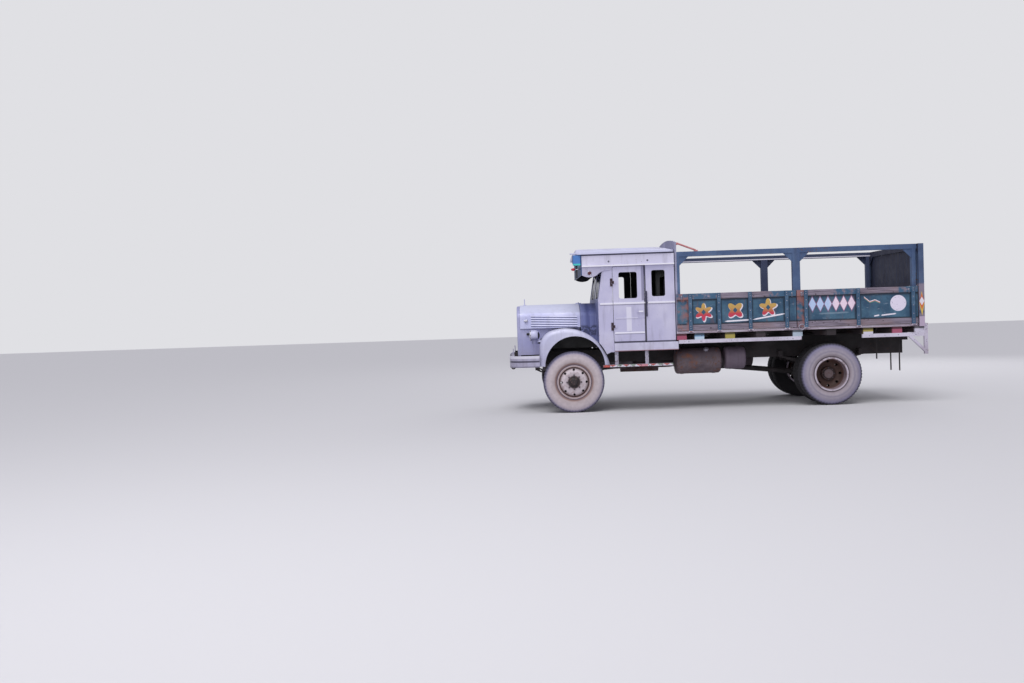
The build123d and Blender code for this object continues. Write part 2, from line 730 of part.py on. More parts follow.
# Exhaust on the right: down pipe, silencer and turned tail pipe
pipe_radius = 32
silencer_radius = 95
silencer_x = (front_axle_x + 920, front_axle_x + 1600)
exhaust_y = 540
exhaust_z = 650
down_pipe_x = front_axle_x + 150
down_pipe_y = engine_half_width + 45
tail_pipe_x = silencer_x[1] + 350
with BuildPart() as exhaust:
    with BuildLine() as pipe_route:
        FilletPolyline(
            (down_pipe_x, down_pipe_y, 900), (down_pipe_x, down_pipe_y, exhaust_z),
            (down_pipe_x + 480, down_pipe_y, exhaust_z), (silencer_x[0] - 90, exhaust_y, exhaust_z),
            (silencer_x[0] + 20, exhaust_y, exhaust_z), radius=60)
    with BuildSketch(Plane(origin=pipe_route.wire() @ 0, z_dir=pipe_route.wire() % 0)):
        Circle(pipe_radius)
    sweep(path=pipe_route.wire())
    box((down_pipe_x - 45, down_pipe_x + 45), (engine_half_width + seat_gap, down_pipe_y + 40), (860, 940))
    rod_along(Plane(origin=(silencer_x[0], exhaust_y, exhaust_z), x_dir=(0, 1, 0), z_dir=(1, 0, 0)),
              silencer_radius,
              silencer_x[1] - silencer_x[0])
    with BuildLine() as tail_route:
        FilletPolyline(
            (silencer_x[1] - 20, exhaust_y, exhaust_z), (tail_pipe_x - 160, exhaust_y, exhaust_z),
            (tail_pipe_x, 760, exhaust_z), (tail_pipe_x, 1000, exhaust_z), radius=90)
    with BuildSketch(Plane(origin=tail_route.wire() @ 0, z_dir=tail_route.wire() % 0)) as tail_end:
        Circle(pipe_radius)
    sweep(tail_end.sketch, path=tail_route.wire())
    for x in (silencer_x[0] + 110, silencer_x[1] - 110):
        box((x - 20, x + 20), (rail_outer_y, exhaust_y), (exhaust_z + 60, frame_base_z + 90))
write(exhaust, "exhaust")

# Fuel tank and air tank on the left rail and a drum tank on the right, each in two straps
# Tanks: front and rear behind the front axle, side, distance out, level, radius
tank_places = (
    (1728, 2478, -1, 705, 783, 214),
    (2550, 2896, -1, 690, 812, 186),
    (2350, 3330, 1, 715, 790, 240),
)
strap_width = 46
strap_gauge = 5
with BuildPart() as tanks:
    for front, rear, side, out, level, radius in tank_places:
        rod_along(Plane(origin=(front_axle_x + front, side * out, level), x_dir=(0, 1, 0), z_dir=(1, 0, 0)),
                  radius, rear - front)
    fillet(tanks.edges().filter_by(GeomType.CIRCLE), 45)
    for front, rear, side, out, level, radius in tank_places:
        for x in (front_axle_x + front + 110, front_axle_x + rear - 110):
            rod_along(Plane(origin=(x - strap_width / 2, side * out, level), x_dir=(0, 1, 0),
                            z_dir=(1, 0, 0)),
                      radius + strap_gauge, strap_width)
            box((x - strap_width / 2, x + strap_width / 2),
                sorted((side * rail_outer_y, side * (out - radius * 0.8))),
                (level - 70, level + 70))
write(tanks, "tanks")


# Front end. The nose, bonnet and cowl share one rounded section
def hood_section(half, base_z, inset, top_z=bonnet_top_z):
    """Straight leaning sides and a crowned top with rounded shoulders, all set in by inset."""
    low, high = half - inset, half - bonnet_lean - inset
    with BuildLine() as outline:
        Line((high, bonnet_shoulder_z), (low, base_z))
        Line((low, base_z), (-low, base_z))
        Line((-low, base_z), (-high, bonnet_shoulder_z))
        ThreePointArc((-high, bonnet_shoulder_z), (0, top_z - inset), (high, bonnet_shoulder_z))
    make_face(outline.edges())


def hood_shell(front_x, rear_x, front_half, rear_half, base_z, rounding):
    """A hollow hood between two sections, open below, in front and behind."""
    for inset, mode, lower in ((0, Mode.ADD, 0), (sheet, Mode.SUBTRACT, 20)):
        ends = []
        for x, half in ((front_x, front_half), (rear_x, rear_half)):
            with BuildSketch(Plane.YZ.offset(x)) as end:
                hood_section(half, base_z - lower, inset)
                shoulders = end.vertices().filter_by(lambda v: v.Y > bonnet_shoulder_z - 5)
                fillet(shoulders, rounding - inset)
            ends.append(end.sketch.face())
        loft(ends, mode=mode)


louvre_front_x = front_axle_x - 681
louvre_rear_x = front_axle_x + 110
louvre_count = 5
louvre_top_z = (1632, 1600)
louvre_pitch = 40
louvre_height = 17
louvre_proud = 12


def bonnet_side_y(x, z):
    """How far out the bonnet's side stands at a place and level."""
    along = (x - bonnet_front_x) / (bonnet_rear_x - bonnet_front_x)
    half = bonnet_front_half + along * (bonnet_rear_half - bonnet_front_half)
    return half - bonnet_lean * (z - bonnet_base_z) / (bonnet_shoulder_z - bonnet_base_z)


hood_round = 110
ornament_x = front_axle_x - 784
with BuildPart() as bonnet:
    hood_shell(bonnet_front_x, bonnet_rear_x, bonnet_front_half, bonnet_rear_half, bonnet_base_z,
               hood_round)
    for side in (-1, 1):
        for number in range(louvre_count):
            front_z, rear_z = (level - number * louvre_pitch for level in louvre_top_z)
            ends = []
            for x, z in ((louvre_front_x, front_z), (louvre_rear_x, rear_z)):
                low_z = z - louvre_height
                wide, narrow = bonnet_side_y(x, low_z), bonnet_side_y(x, z)
                with BuildSketch(Plane.YZ.offset(x)) as end:
                    with BuildLine():
                        Polyline(
                            (side * (narrow - 4), z), (side * (wide - 4), low_z),
                            (side * (wide + louvre_proud), low_z), (side * (narrow + louvre_proud - 5), z),
                            close=True)
                    make_face()
                ends.append(end.sketch.face())
            loft(ends)
    rod_along(Plane(origin=(ornament_x, 0, bonnet_top_z - sheet)), 7, 112)
    rod_along(Plane(origin=(ornament_x, 0, bonnet_top_z - 2)), 24, 10)
    box((bonnet_rear_x - 45, bonnet_rear_x + 3), (-40, 40), (bonnet_top_z - 3, bonnet_hinge_z - 2))
    rod_along(across(bonnet_rear_x + 3, 40, bonnet_hinge_z), bonnet_hinge_radius, 80)
    rod_along(across(bonnet_rear_x + 3, 45, bonnet_hinge_z), 4 + pin_gap, 90, mode=Mode.SUBTRACT)
write(bonnet, "bonnet")

# Grille shell: the nose's surround on the frame, and its side cheeks back to the fenders
nose_cheek_rear_x = front_axle_x - 530
nose_top_drop = 14
nose_base_round = 25
mouth_half = nose_half - 62
mouth_base_z = nose_base_z + 85
mouth_top_z = bonnet_top_z - nose_top_drop - 90
mouth_corner = 60
with BuildPart() as grille_shell:
    with BuildSketch(Plane.YZ.offset(nose_front_x)) as nose:
        hood_section(nose_half, nose_base_z, 0, bonnet_top_z - nose_top_drop)
        fillet(nose.vertices().filter_by(lambda v: v.Y > bonnet_shoulder_z - 5), hood_round)
        fillet(nose.vertices().filter_by(lambda v: v.Y < nose_base_z + 5), nose_base_round)
    extrude(nose.sketch, amount=bonnet_front_x - 2 - nose_front_x)
    fillet(grille_shell.faces().sort_by(Axis.X)[0].edges(), 24)
    with BuildSketch(Plane.YZ.offset(nose_front_x - 1)) as mouth:
        hood_section(mouth_half, mouth_base_z, 0, mouth_top_z)
        fillet(mouth.vertices(), mouth_corner)
    extrude(mouth.sketch, amount=bonnet_front_x - nose_front_x + 2, mode=Mode.SUBTRACT)
    for side in (-1, 1):
        box((nose_front_x - 1, bonnet_front_x),
            sorted((side * (rail_inner_y - 4), side * (rail_outer_y + 4))),
            (nose_base_z - 1, frame_top + seat_gap), mode=Mode.SUBTRACT)
        box((bonnet_front_x - 40, nose_cheek_rear_x),
            sorted((side * (nose_half - sheet), side * nose_half)),
            (nose_base_z + nose_base_round, bonnet_base_z - sheet_seam))
        box((bonnet_front_x - 42, bonnet_front_x - 2), sorted((side * rail_inner_y, side * rail_outer_y)),
            (frame_top, mouth_base_z + 13))
write(grille_shell, "grille_shell")

# Grille bars: tilted slats on an upright, inside the mouth
slat_count = 11
slat_height = 22
slat_gauge = 14
slat_tilt = 28
upright_half = 14
slat_pitch = (mouth_top_z - 20 - mouth_base_z) / slat_count
mouth_lean = bonnet_lean / (bonnet_shoulder_z - mouth_base_z)
with BuildPart() as grille_bars:
    for number in range(slat_count):
        z = mouth_base_z + (number + 0.5) * slat_pitch
        reach = mouth_half - mouth_lean * (z + slat_height - mouth_base_z) - seat_gap
        if number in (0, slat_count - 1):
            reach -= mouth_corner
        if number == slat_count - 1:
            reach -= mouth_corner
        with BuildSketch(Plane.XZ.offset(-reach)) as slat:
            with Locations((nose_front_x + 26, z)):
                Rectangle(slat_gauge, slat_height, rotation=slat_tilt)
        extrude(slat.sketch, amount=2 * reach)
    box((nose_front_x + 16, nose_front_x + 36), (-upright_half, upright_half),
        (mouth_base_z + seat_gap, mouth_top_z - 1))
write(grille_bars, "grille_bars")

# Radiator on the front cross member
radiator_x = (front_axle_x - 850, front_axle_x - 770)
with BuildPart() as radiator:
    box(radiator_x, (-340, 340), (1060, 1600))
    box((radiator_x[0] - 10, radiator_x[1] + 10), (-350, 350), (1600, 1690))
    fillet(radiator.faces().sort_by(Axis.Z)[-1].edges(), 25)
    box((radiator_x[0] - 10, radiator_x[1] + 10), (-rail_outer_y, rail_outer_y), (frame_top, 1060))
write(radiator, "radiator")


# Fenders: pressed arch with a rounded outer edge, open to the wheel, a catwalk in to the
# bonnet, and a ball-backed lamp pod on a bracket
fender_foot_x = (front_axle_x - 566, front_axle_x + 600)
fender_rise_z = 1080
fender_crown_z = 1395
splash_panel_z = 1060
catwalk_inner_y = nose_half + seat_gap
catwalk_base_z = 950
lamp_foot_radius = 50
lamp_arm_radius = 30


def fender_path(growth):
    """The arch seen from the side: a steep front, a full crown and a sloping rear skirt."""
    front, rear = fender_foot_x
    with BuildSketch(Plane.XZ) as outline:
        with BuildLine():
            rise = Line((front, 500), (front + 14, fender_rise_z))
            brow = TangentArc(rise @ 1, (front_axle_x - 330, fender_crown_z - 27), tangent=rise % 1)
            crown = TangentArc(brow @ 1, (front_axle_x - 60, fender_crown_z), tangent=brow % 1)
            back = TangentArc(crown @ 1, (front_axle_x + 437, 1136), tangent=crown % 1)
            skirt = TangentArc(back @ 1, (rear, 800), tangent=back % 1)
            Line(skirt @ 1, (rear + 150, 500))
            Line((rear + 150, 500), (front, 500))
        make_face()
        if growth:
            offset(amount=growth, kind=Kind.INTERSECTION)
    return outline.sketch


def fender_solid(growth, outer_y, inner_y, mode=Mode.ADD):
    """The arch's whole outline between two distances out on the left side."""
    face = fender_path(growth).moved(Location((0, -inner_y, 0)))
    return extrude(face, amount=outer_y - inner_y, mode=mode)


def outer_arch_edges(piece):
    return piece.faces().sort_by(Axis.Y)[0].edges().filter_by(lambda e: e.center().Z > 600)


with BuildPart() as fender_cavity:
    fender_solid(-sheet, fender_outer_y - sheet, fender_inner_y + sheet)
    fillet(outer_arch_edges(fender_cavity), fender_round - sheet)

with BuildPart() as fender_left:
    fender_solid(0, fender_outer_y, catwalk_inner_y)
    fillet(outer_arch_edges(fender_left), fender_round)
    pod_middle_x = lamp_pod_front_x + lamp_pod_barrel
    rod_along(Plane(origin=(lamp_pod_front_x, -lamp_pod_y, lamp_pod_z), x_dir=(0, 1, 0), z_dir=(1, 0, 0)),
              lamp_pod_radius, lamp_pod_barrel)
    with Locations((pod_middle_x, -lamp_pod_y, lamp_pod_z)):
        Sphere(lamp_pod_radius)
    box((lamp_pod_front_x - lamp_pod_radius, lamp_pod_front_x), (-fender_outer_y, -fender_inner_y),
        (lamp_pod_z - lamp_pod_radius, lamp_pod_z + lamp_pod_radius), mode=Mode.SUBTRACT)
    foot_z = lamp_pod_z - lamp_pod_radius - 56
    rod_along(Plane(origin=(pod_middle_x, -lamp_pod_y, foot_z)), lamp_foot_radius, 110)
    rod_along(Plane(origin=(pod_middle_x, -lamp_pod_y, foot_z + 34), x_dir=(0, 1, 0), z_dir=(1, 0, 0)),
              lamp_arm_radius, 120)
    add(fender_cavity.part, mode=Mode.SUBTRACT)
    fender_solid(-sheet, fender_inner_y, catwalk_inner_y - 10, mode=Mode.SUBTRACT)
    rod_along(across(arch_centre_x, -fender_outer_y + 130, arch_centre_z), arch_radius, 140,
              mode=Mode.SUBTRACT)
    box((front_axle_x - 800, front_axle_x + 900), (-fender_outer_y - 10, -catwalk_inner_y + 10),
        (400, fender_base_z),
        mode=Mode.SUBTRACT)
    box((front_axle_x - 800, front_axle_x + 900), (-fender_inner_y, -catwalk_inner_y + 10),
        (400, catwalk_base_z),
        mode=Mode.SUBTRACT)
    box((bonnet_rear_x, front_axle_x + 900), (-fender_inner_y, -catwalk_inner_y + 10), (400, 1500),
        mode=Mode.SUBTRACT)
    box((front_axle_x - 540, front_axle_x + 800), (-fender_inner_y - 10, -fender_inner_y),
        (400, splash_panel_z),
        mode=Mode.SUBTRACT)
write(fender_left, "fender_left")
write_mirrored(fender_left, "fender_right")

# Front bumper: two pressed bands with a groove, wrapped round the corners, on two arms
bumper_gauge = 8
bumper_band = 82
bumper_groove = 6
bumper_end_x = front_axle_x - 560
bumper_corner = 300
bumper_corner_x = front_end + bumper_bow
guide_rod_radius = 8
guide_rod_y = bumper_half_width - 150
guide_rod_x = bumper_corner_x + bumper_corner - math.sqrt(bumper_corner**2 - (bumper_corner - 150) ** 2)


def bumper_plan(inset, low, high):
    """The U seen from above between two levels: bowed front, round corners, straight ends."""
    with BuildSketch(Plane.XY.offset(low)) as plan:
        for step, end_x, mode in (
            (inset, bumper_end_x, Mode.ADD),
            (inset + bumper_gauge, bumper_end_x + 10, Mode.SUBTRACT),
        ):
            half = bumper_half_width - step
            corner_x = bumper_corner_x + step
            with BuildLine():
                ThreePointArc((corner_x, half), (front_end + step, 0), (corner_x, -half))
                Polyline((corner_x, -half), (end_x, -half), (end_x, half), (corner_x, half))
            make_face(mode=mode)
        corners = plan.vertices().filter_by(lambda v: v.X < bumper_corner_x + bumper_gauge + inset + 5)
        fillet(corners, bumper_corner)
    extrude(plan.sketch, amount=high - low)


with BuildPart() as front_bumper:
    top = bumper_base_z + bumper_height
    bumper_plan(0, bumper_base_z, bumper_base_z + bumper_band)
    bumper_plan(0, top - bumper_band, top)
    bumper_plan(bumper_groove, bumper_base_z + bumper_band - 8, top - bumper_band + 8)
    for side in (-1, 1):
        box((front_end + 10, rail_front_x), sorted((side * rail_inner_y, side * rail_outer_y)), (810, 950))
        rod_along(Plane(origin=(guide_rod_x + bumper_gauge, side * guide_rod_y, top - 30)),
                  guide_rod_radius, 155)
write(front_bumper, "front_bumper")

# Cab floor with frame bearers and the sills below the doors
sill_outer_y = cab_half_width + sill_proud
with BuildPart() as cab_floor:
    box((cab_front_x + cab_wall + 12, cab_rear_x - cab_wall), (-cab_inner_y, cab_inner_y),
        (1070, cab_floor_z))
    for side in (-1, 1):
        box((cab_front_x + 230, cab_rear_x - 60), sorted((side * rail_inner_y, side * rail_outer_y)),
            (frame_top, 1071))
        sill_rear_x = cab_rear_x + sill_overrun
        hollow = sorted((side * (cab_inner_y + sheet), side * (sill_outer_y - sheet)))
        box((sill_front_x, sill_rear_x), sorted((side * cab_inner_y, side * sill_outer_y)),
            (sill_base_z, sill_top_z))
        box((sill_front_x + sheet, sill_rear_x - sheet), hollow, (sill_base_z, sill_top_z - sheet),
            mode=Mode.SUBTRACT)
write(cab_floor, "cab_floor")

# Cab front: cowl continuing the bonnet's section, firewall and windscreen frame
glass_gauge = 8
glass_half_gap = 30
glass_width = 880
glass_base_z = 1885
glass_height = cab_eaves_z - 88 - glass_base_z
cowl_front_x = bonnet_rear_x + sheet_seam
screen_lean = math.degrees(math.atan(windscreen_set_back / (cab_eaves_z - scuttle_z)))


def screen_plane(depth):
    """The leaning windscreen plane, depth behind the frame's outer face, local y up the slope."""
    lean = math.radians(screen_lean)
    start = Vector(cab_front_x, 0, scuttle_z) + Vector(math.cos(lean), 0, -math.sin(lean)) * depth
    return Plane(origin=start, x_dir=(0, -1, 0), z_dir=(-math.cos(lean), 0, math.sin(lean)))


def screen_panes(plane, growth):
    with BuildSketch(plane) as panes:
        for side in (-1, 1):
            with Locations((side * (glass_half_gap + glass_width / 2),
                            (glass_base_z - scuttle_z) + glass_height / 2)):
                RectangleRounded(glass_width + 2 * growth, glass_height + 2 * growth, 50)
    return panes.sketch


with BuildPart() as cab_front:
    hood_shell(cowl_front_x, cab_front_x + 10, bonnet_rear_half, bonnet_rear_half, 1150, hood_round)
    with BuildSketch(Plane.XZ.offset(-cab_inner_y)) as wall:
        with BuildLine():
            Polyline((cab_front_x, 1150), (cab_front_x, scuttle_z),
                     (cab_front_x + windscreen_set_back, cab_eaves_z),
                     (cab_front_x + windscreen_set_back + cab_wall, cab_eaves_z),
                     (cab_front_x + cab_wall, scuttle_z - 20), (cab_front_x + cab_wall, 1150), close=True)
        make_face()
    extrude(wall.sketch, amount=2 * cab_inner_y)
    extrude(screen_panes(screen_plane(60), -12), amount=120, mode=Mode.SUBTRACT)
    extrude(screen_panes(screen_plane(12), 0), amount=60, mode=Mode.SUBTRACT)
    box((cowl_front_x, cowl_front_x + 42), (-73, -43), (bonnet_top_z - 6, bonnet_hinge_z - 4))
    box((cowl_front_x, cowl_front_x + 42), (43, 73), (bonnet_top_z - 6, bonnet_hinge_z - 4))
    for side in (-1, 1):
        rod_along(across(bonnet_rear_x + 3, side * 58 + 15, bonnet_hinge_z), bonnet_hinge_radius, 30)
    box((bonnet_rear_x + 3, cowl_front_x + 5), (-73, -43), (bonnet_top_z + 4, bonnet_hinge_z - 4))
    box((bonnet_rear_x + 3, cowl_front_x + 5), (43, 73), (bonnet_top_z + 4, bonnet_hinge_z - 4))
    rod_along(across(bonnet_rear_x + 3, 60, bonnet_hinge_z), 4, 120)
    box((cab_front_x + cab_wall - 1, cab_front_x + cab_wall + 12), (-cab_inner_y, cab_inner_y),
        (1150, 1200))
write(cab_front, "cab_front")

with BuildPart() as windscreen:
    extrude(screen_panes(screen_plane(12), -seat_gap), amount=glass_gauge)
write(windscreen, "windscreen")

# Cab side: one panel with the door opening, rear window, belt moulding and hinge leaves
door_gap = run_gap
rear_window_x = (1322, 1543)
rear_window_z = (1884, cab_eaves_z - 98)
belt_height = 24
belt_proud = 12
grab_handle_x = door_rear_x + 28
grab_handle_z = (1555, 1975)
with BuildPart() as fender_clear:
    fender_solid(5, fender_outer_y + 20, fender_inner_y - 20)

with BuildPart() as cab_side_left:
    with BuildSketch(Plane.XZ.offset(cab_inner_y)) as panel:
        with BuildLine():
            Polyline((cab_front_x, 900), (cab_front_x, scuttle_z),
                     (cab_front_x + windscreen_set_back, cab_eaves_z),
                     (cab_rear_x, cab_eaves_z), (cab_rear_x, sill_top_z), (sill_front_x - 2, sill_top_z),
                     (sill_front_x - 2, 985), (cab_front_x + 190, 985), close=True)
        make_face()
    extrude(panel.sketch, amount=cab_wall)
    side_cut(cab_inner_y - 1, (door_front_x + door_rear_x) / 2, (door_base_z + door_top_z) / 2,
             door_width + 2 * door_gap, door_top_z - door_base_z + 2 * door_gap, cab_wall + 2, 30)
    side_cut(cab_inner_y - 1, front_axle_x + sum(rear_window_x) / 2, sum(rear_window_z) / 2,
             rear_window_x[1] - rear_window_x[0], rear_window_z[1] - rear_window_z[0], cab_wall + 2, 35)
    add(fender_clear.part, mode=Mode.SUBTRACT)
    for front, rear in ((cab_front_x + 10, door_front_x - door_gap), (door_rear_x + door_gap, cab_rear_x)):
        box((front, rear), (-cab_half_width - belt_proud, -cab_half_width + 2),
            (belt_z - belt_height / 2, belt_z + belt_height / 2))
    for level in door_hinge_levels:
        box((door_hinge_x - 44, door_hinge_x), (-cab_half_width - 6, -cab_half_width + 2),
            (level - door_hinge_height / 2, level + door_hinge_height / 2))
        box((door_hinge_x - 14, door_hinge_x + 14), (-cab_half_width - 7, -cab_half_width - 1),
            (level - 24, level + 24),
            mode=Mode.SUBTRACT)
        for low in (level - door_hinge_height / 2, level + 24):
            rod_along(Plane(origin=(door_hinge_x, -door_hinge_y, low)), door_hinge_radius,
                      door_hinge_height / 2 - 24)
            box((door_hinge_x - 20, door_hinge_x), (-door_hinge_y, -cab_half_width + 2),
                (low, low + door_hinge_height / 2 - 24))
        rod_along(Plane(origin=(door_hinge_x, -door_hinge_y, level - door_hinge_height / 2)), 6,
                  door_hinge_height)
    for level in (grab_handle_z[0] + 12, grab_handle_z[1] - 12):
        rod_along(across(grab_handle_x, -cab_half_width + 2, level), 8, 34)
    rod_along(Plane(origin=(grab_handle_x, -cab_half_width - 32, grab_handle_z[0])), 10,
              grab_handle_z[1] - grab_handle_z[0])
write(cab_side_left, "cab_side_left")
write_mirrored(cab_side_left, "cab_side_right")

# Door: a thick panel with its window, two beads, belt moulding, hinge knuckles and lever
door_window_x = (782, 1083)
door_window_z = (1864, cab_eaves_z - 116)
door_beads = (1541, 1297)
with BuildPart() as door_left:
    side_cut(cab_inner_y, (door_front_x + door_rear_x) / 2, (door_base_z + door_top_z) / 2, door_width,
             door_top_z - door_base_z, cab_wall, 24, mode=Mode.ADD)
    side_cut(cab_inner_y - 1, front_axle_x + sum(door_window_x) / 2, sum(door_window_z) / 2,
             door_window_x[1] - door_window_x[0], door_window_z[1] - door_window_z[0], cab_wall + 2, 35)
    box((door_front_x, door_rear_x), (-cab_half_width - belt_proud, -cab_half_width + 2),
        (belt_z - belt_height / 2, belt_z + belt_height / 2))
    for level in door_beads:
        box((door_front_x + 30, door_rear_x - 30), (-cab_half_width - 5, -cab_half_width + 2),
            (level - 8, level + 8))
    for level in door_hinge_levels:
        rod_along(Plane(origin=(door_hinge_x, -door_hinge_y, level - 22)), door_hinge_radius, 44)
        box((door_hinge_x, door_front_x + 50), (-door_hinge_y, -cab_half_width - 2),
            (level - 22, level + 22))
        box((door_front_x, door_front_x + 50), (-door_hinge_y + 7, -cab_half_width + 2),
            (level - 22, level + 22))
        rod_along(Plane(origin=(door_hinge_x, -door_hinge_y, level - 30)), 6 + pin_gap, 60,
                  mode=Mode.SUBTRACT)
    rod_along(across(front_axle_x + 1162, -cab_half_width + 2, 1644), 12, 30)
    side_cut(cab_half_width + 22, front_axle_x + 1118, 1644, 110, 22, 12, 10, mode=Mode.ADD)
write(door_left, "door_left")
write_mirrored(door_left, "door_right")

# Cab back with its window
back_window_width = 700
back_window_z = (1920, cab_eaves_z - 173)
with BuildPart() as cab_back:
    box((cab_rear_x - cab_wall, cab_rear_x), (-cab_inner_y, cab_inner_y), (1070, cab_eaves_z))
    with BuildSketch(Plane.YZ.offset(cab_rear_x - cab_wall - 1)) as rear_light:
        with Locations((0, sum(back_window_z) / 2)):
            RectangleRounded(back_window_width, back_window_z[1] - back_window_z[0], 40)
    extrude(rear_light.sketch, amount=cab_wall + 2, mode=Mode.SUBTRACT)
write(cab_back, "cab_back")

# Cab roof: raised box over the eaves, rain moulding, an overhanging cap with a steep front
# and sloping sides, and a small peak at the cap's left front corner
cap_front_x = front_axle_x + 88
cap_rear_x = cab_rear_x + 10
cap_edge = 38
cap_corner = 90
peak_reach = 92
peak_y = (-roof_lamp_outer_y, -roof_lamp_inner_y)
roof_half = cab_half_width + 15
moulding_half = 10


def roof_rectangle(front, rear, half, z, corner):
    with BuildSketch(Plane.XY.offset(z)) as plan:
        with Locations(((front + rear) / 2, 0)):
            RectangleRounded(rear - front, 2 * half, corner)
    return plan.sketch


with BuildPart() as cab_roof:
    box((roof_front_x, cab_rear_x), (-roof_half, roof_half), (cab_eaves_z, roof_wall_top_z))
    eave = roof_half + roof_eave_proud - 15
    extrude(roof_rectangle(cap_front_x, cap_rear_x, eave, roof_wall_top_z, cap_corner), amount=cap_edge)
    loft([
        roof_rectangle(cap_front_x, cap_rear_x, eave, roof_wall_top_z + cap_edge, cap_corner).face(),
        roof_rectangle(cap_front_x + 15, cap_rear_x - 230, eave - 170, roof_top_z, cap_corner).face(),
    ])
    box((cap_front_x - peak_reach, cap_front_x + cap_corner), peak_y,
        (roof_wall_top_z + 14, roof_wall_top_z + 32))
    box((roof_front_x, cab_rear_x), (-roof_half - 25, roof_half + 25),
        (cab_eaves_z - moulding_half, cab_eaves_z + moulding_half))
    box((roof_front_x + 12, cab_rear_x + 1), (-cab_half_width - seat_gap, cab_half_width + seat_gap),
        (cab_eaves_z - moulding_half - 1, cab_eaves_z), mode=Mode.SUBTRACT)
    box((roof_front_x + 30, cab_rear_x - cab_wall), (-cab_inner_y, cab_inner_y),
        (cab_eaves_z + 30, roof_wall_top_z + cap_edge), mode=Mode.SUBTRACT)
    loft([
        roof_rectangle(roof_front_x + 30, cab_rear_x - cab_wall, cab_inner_y,
                       roof_wall_top_z + cap_edge - 1, 40).face(),
        roof_rectangle(cap_front_x + 105, cap_rear_x - 270, eave - 215, roof_top_z - 10, 40).face(),
    ], mode=Mode.SUBTRACT)
    box((cab_front_x + windscreen_set_back + cab_wall, cab_rear_x - cab_wall), (-cab_inner_y, cab_inner_y),
        (cab_eaves_z - 1, cab_eaves_z + 31), mode=Mode.SUBTRACT)
write(cab_roof, "cab_roof")

# Roof visor: front board under the cap, a cheek on each side with a scalloped lower edge,
# and at the left end a box lamp with a shelf and a hanging strap
visor_front_x = roof_front_x - visor_gauge - seat_gap
visor_base_z = cab_eaves_z - 144
box_lamp_reach = 128
box_lamp_height = 138
shelf_gauge = 22
cheek_inner_y = cab_half_width + seat_gap
with BuildPart() as roof_visor:
    with BuildSketch(Plane.XZ.offset(cheek_inner_y)) as cheek:
        with BuildLine():
            top = cab_eaves_z - moulding_half
            front, rear = visor_front_x + visor_gauge - 2, front_axle_x + 655
            dip = (front_axle_x + 420, visor_base_z - 13)
            Polyline((rear, visor_base_z + 71), (rear, top), (front, top), (front, visor_base_z))
            ThreePointArc((front, visor_base_z), (front_axle_x + 300, visor_base_z - 37), dip)
            ThreePointArc(dip, (front_axle_x + 515, visor_base_z + 53), (rear, visor_base_z + 71))
        make_face()
    extrude(cheek.sketch, amount=roof_half - cheek_inner_y)
    mirror(about=Plane.XZ)
    box((visor_front_x, visor_front_x + visor_gauge), (-roof_half, roof_half),
        (visor_base_z, roof_wall_top_z))
    lamp_y = (-roof_lamp_outer_y, -roof_lamp_inner_y)
    lamp_top_z = roof_wall_top_z - 3
    shelf_z = lamp_top_z - box_lamp_height - 4
    box((visor_front_x - box_lamp_reach, visor_front_x + 1), lamp_y,
        (lamp_top_z - box_lamp_height, lamp_top_z))
    box((visor_front_x - box_lamp_reach + 8, visor_front_x + 1), lamp_y,
        (shelf_z - shelf_gauge, shelf_z + 5))
    box((visor_front_x - 80, visor_front_x - 46), (lamp_y[1] - 40, lamp_y[1] - 36),
        (visor_base_z - 42, shelf_z))
write(roof_visor, "roof_visor")

# Lamps: two head lamps, two side markers, tail lamps and one red bullet lamp on the visor
marker_x, marker_z, marker_radius = front_axle_x + 307, visor_base_z + 28, 38
bullet_radius = 24
bullet_length = 63
with BuildPart() as lamps:
    head_face = Plane(origin=(lamp_pod_front_x, -lamp_pod_y, lamp_pod_z), x_dir=(0, 1, 0), z_dir=(-1, 0, 0))
    with BuildSketch(head_face) as bezel:
        Circle(lamp_pod_radius + 4)
    extrude(bezel.sketch, amount=18)
    with BuildSketch(head_face.offset(18)) as lens:
        Circle(lamp_pod_radius - 10)
    extrude(lens.sketch, amount=12)
    fillet(lamps.faces().sort_by(Axis.X)[0].edges(), 10)
    rod_along(across(marker_x, -roof_half, marker_z), marker_radius, 14)
    box((post_rear_x - 40, post_rear_x - 6), (-960, -850), (1080, floor_base_z - bearer_height))
    mirror(about=Plane.XZ)
    stalk = Plane(origin=(visor_front_x, -roof_half + 45, visor_base_z + 101), x_dir=(0, 1, 0),
                  z_dir=(-1, 0, 0))
    rod_along(stalk, 8, 100)
    rod_along(stalk.offset(95), bullet_radius, bullet_length)
write(lamps, "lamps")

# Steps: a bar on two straps below each sill
step_x = (front_axle_x + 490, front_axle_x + 1637)
step_z = (740, 776)
step_depth = 90
step_strap_x = (sill_front_x + 31, sill_front_x + 529)
step_strap_width = 58
with BuildPart() as cab_steps:
    box(step_x, (-sill_outer_y, -sill_outer_y + step_depth), step_z)
    for x in step_strap_x:
        box((x - step_strap_width / 2, x + step_strap_width / 2), (-cab_half_width, -cab_half_width + 12),
            (step_z[1] - 10, sill_base_z))
    mirror(about=Plane.XZ)
write(cab_steps, "cab_steps")

# Inside the cab: dashboard, bench seat and the raked steering wheel on the right
with BuildPart() as dashboard:
    with BuildSketch(Plane.XZ.offset(-cab_inner_y + 3)) as dash:
        with BuildLine():
            Polyline((cab_front_x + cab_wall, 1500), (cab_front_x + cab_wall, 1790),
                     (cab_front_x + 190, 1770),
                     (cab_front_x + 230, 1700), (cab_front_x + 200, 1540), (cab_front_x + 120, 1500),
                     close=True)
        make_face()
        fillet(dash.vertices().filter_by(lambda v: v.X > cab_front_x + 150), 20)
    extrude(dash.sketch, amount=2 * (cab_inner_y - 3))
write(dashboard, "dashboard")

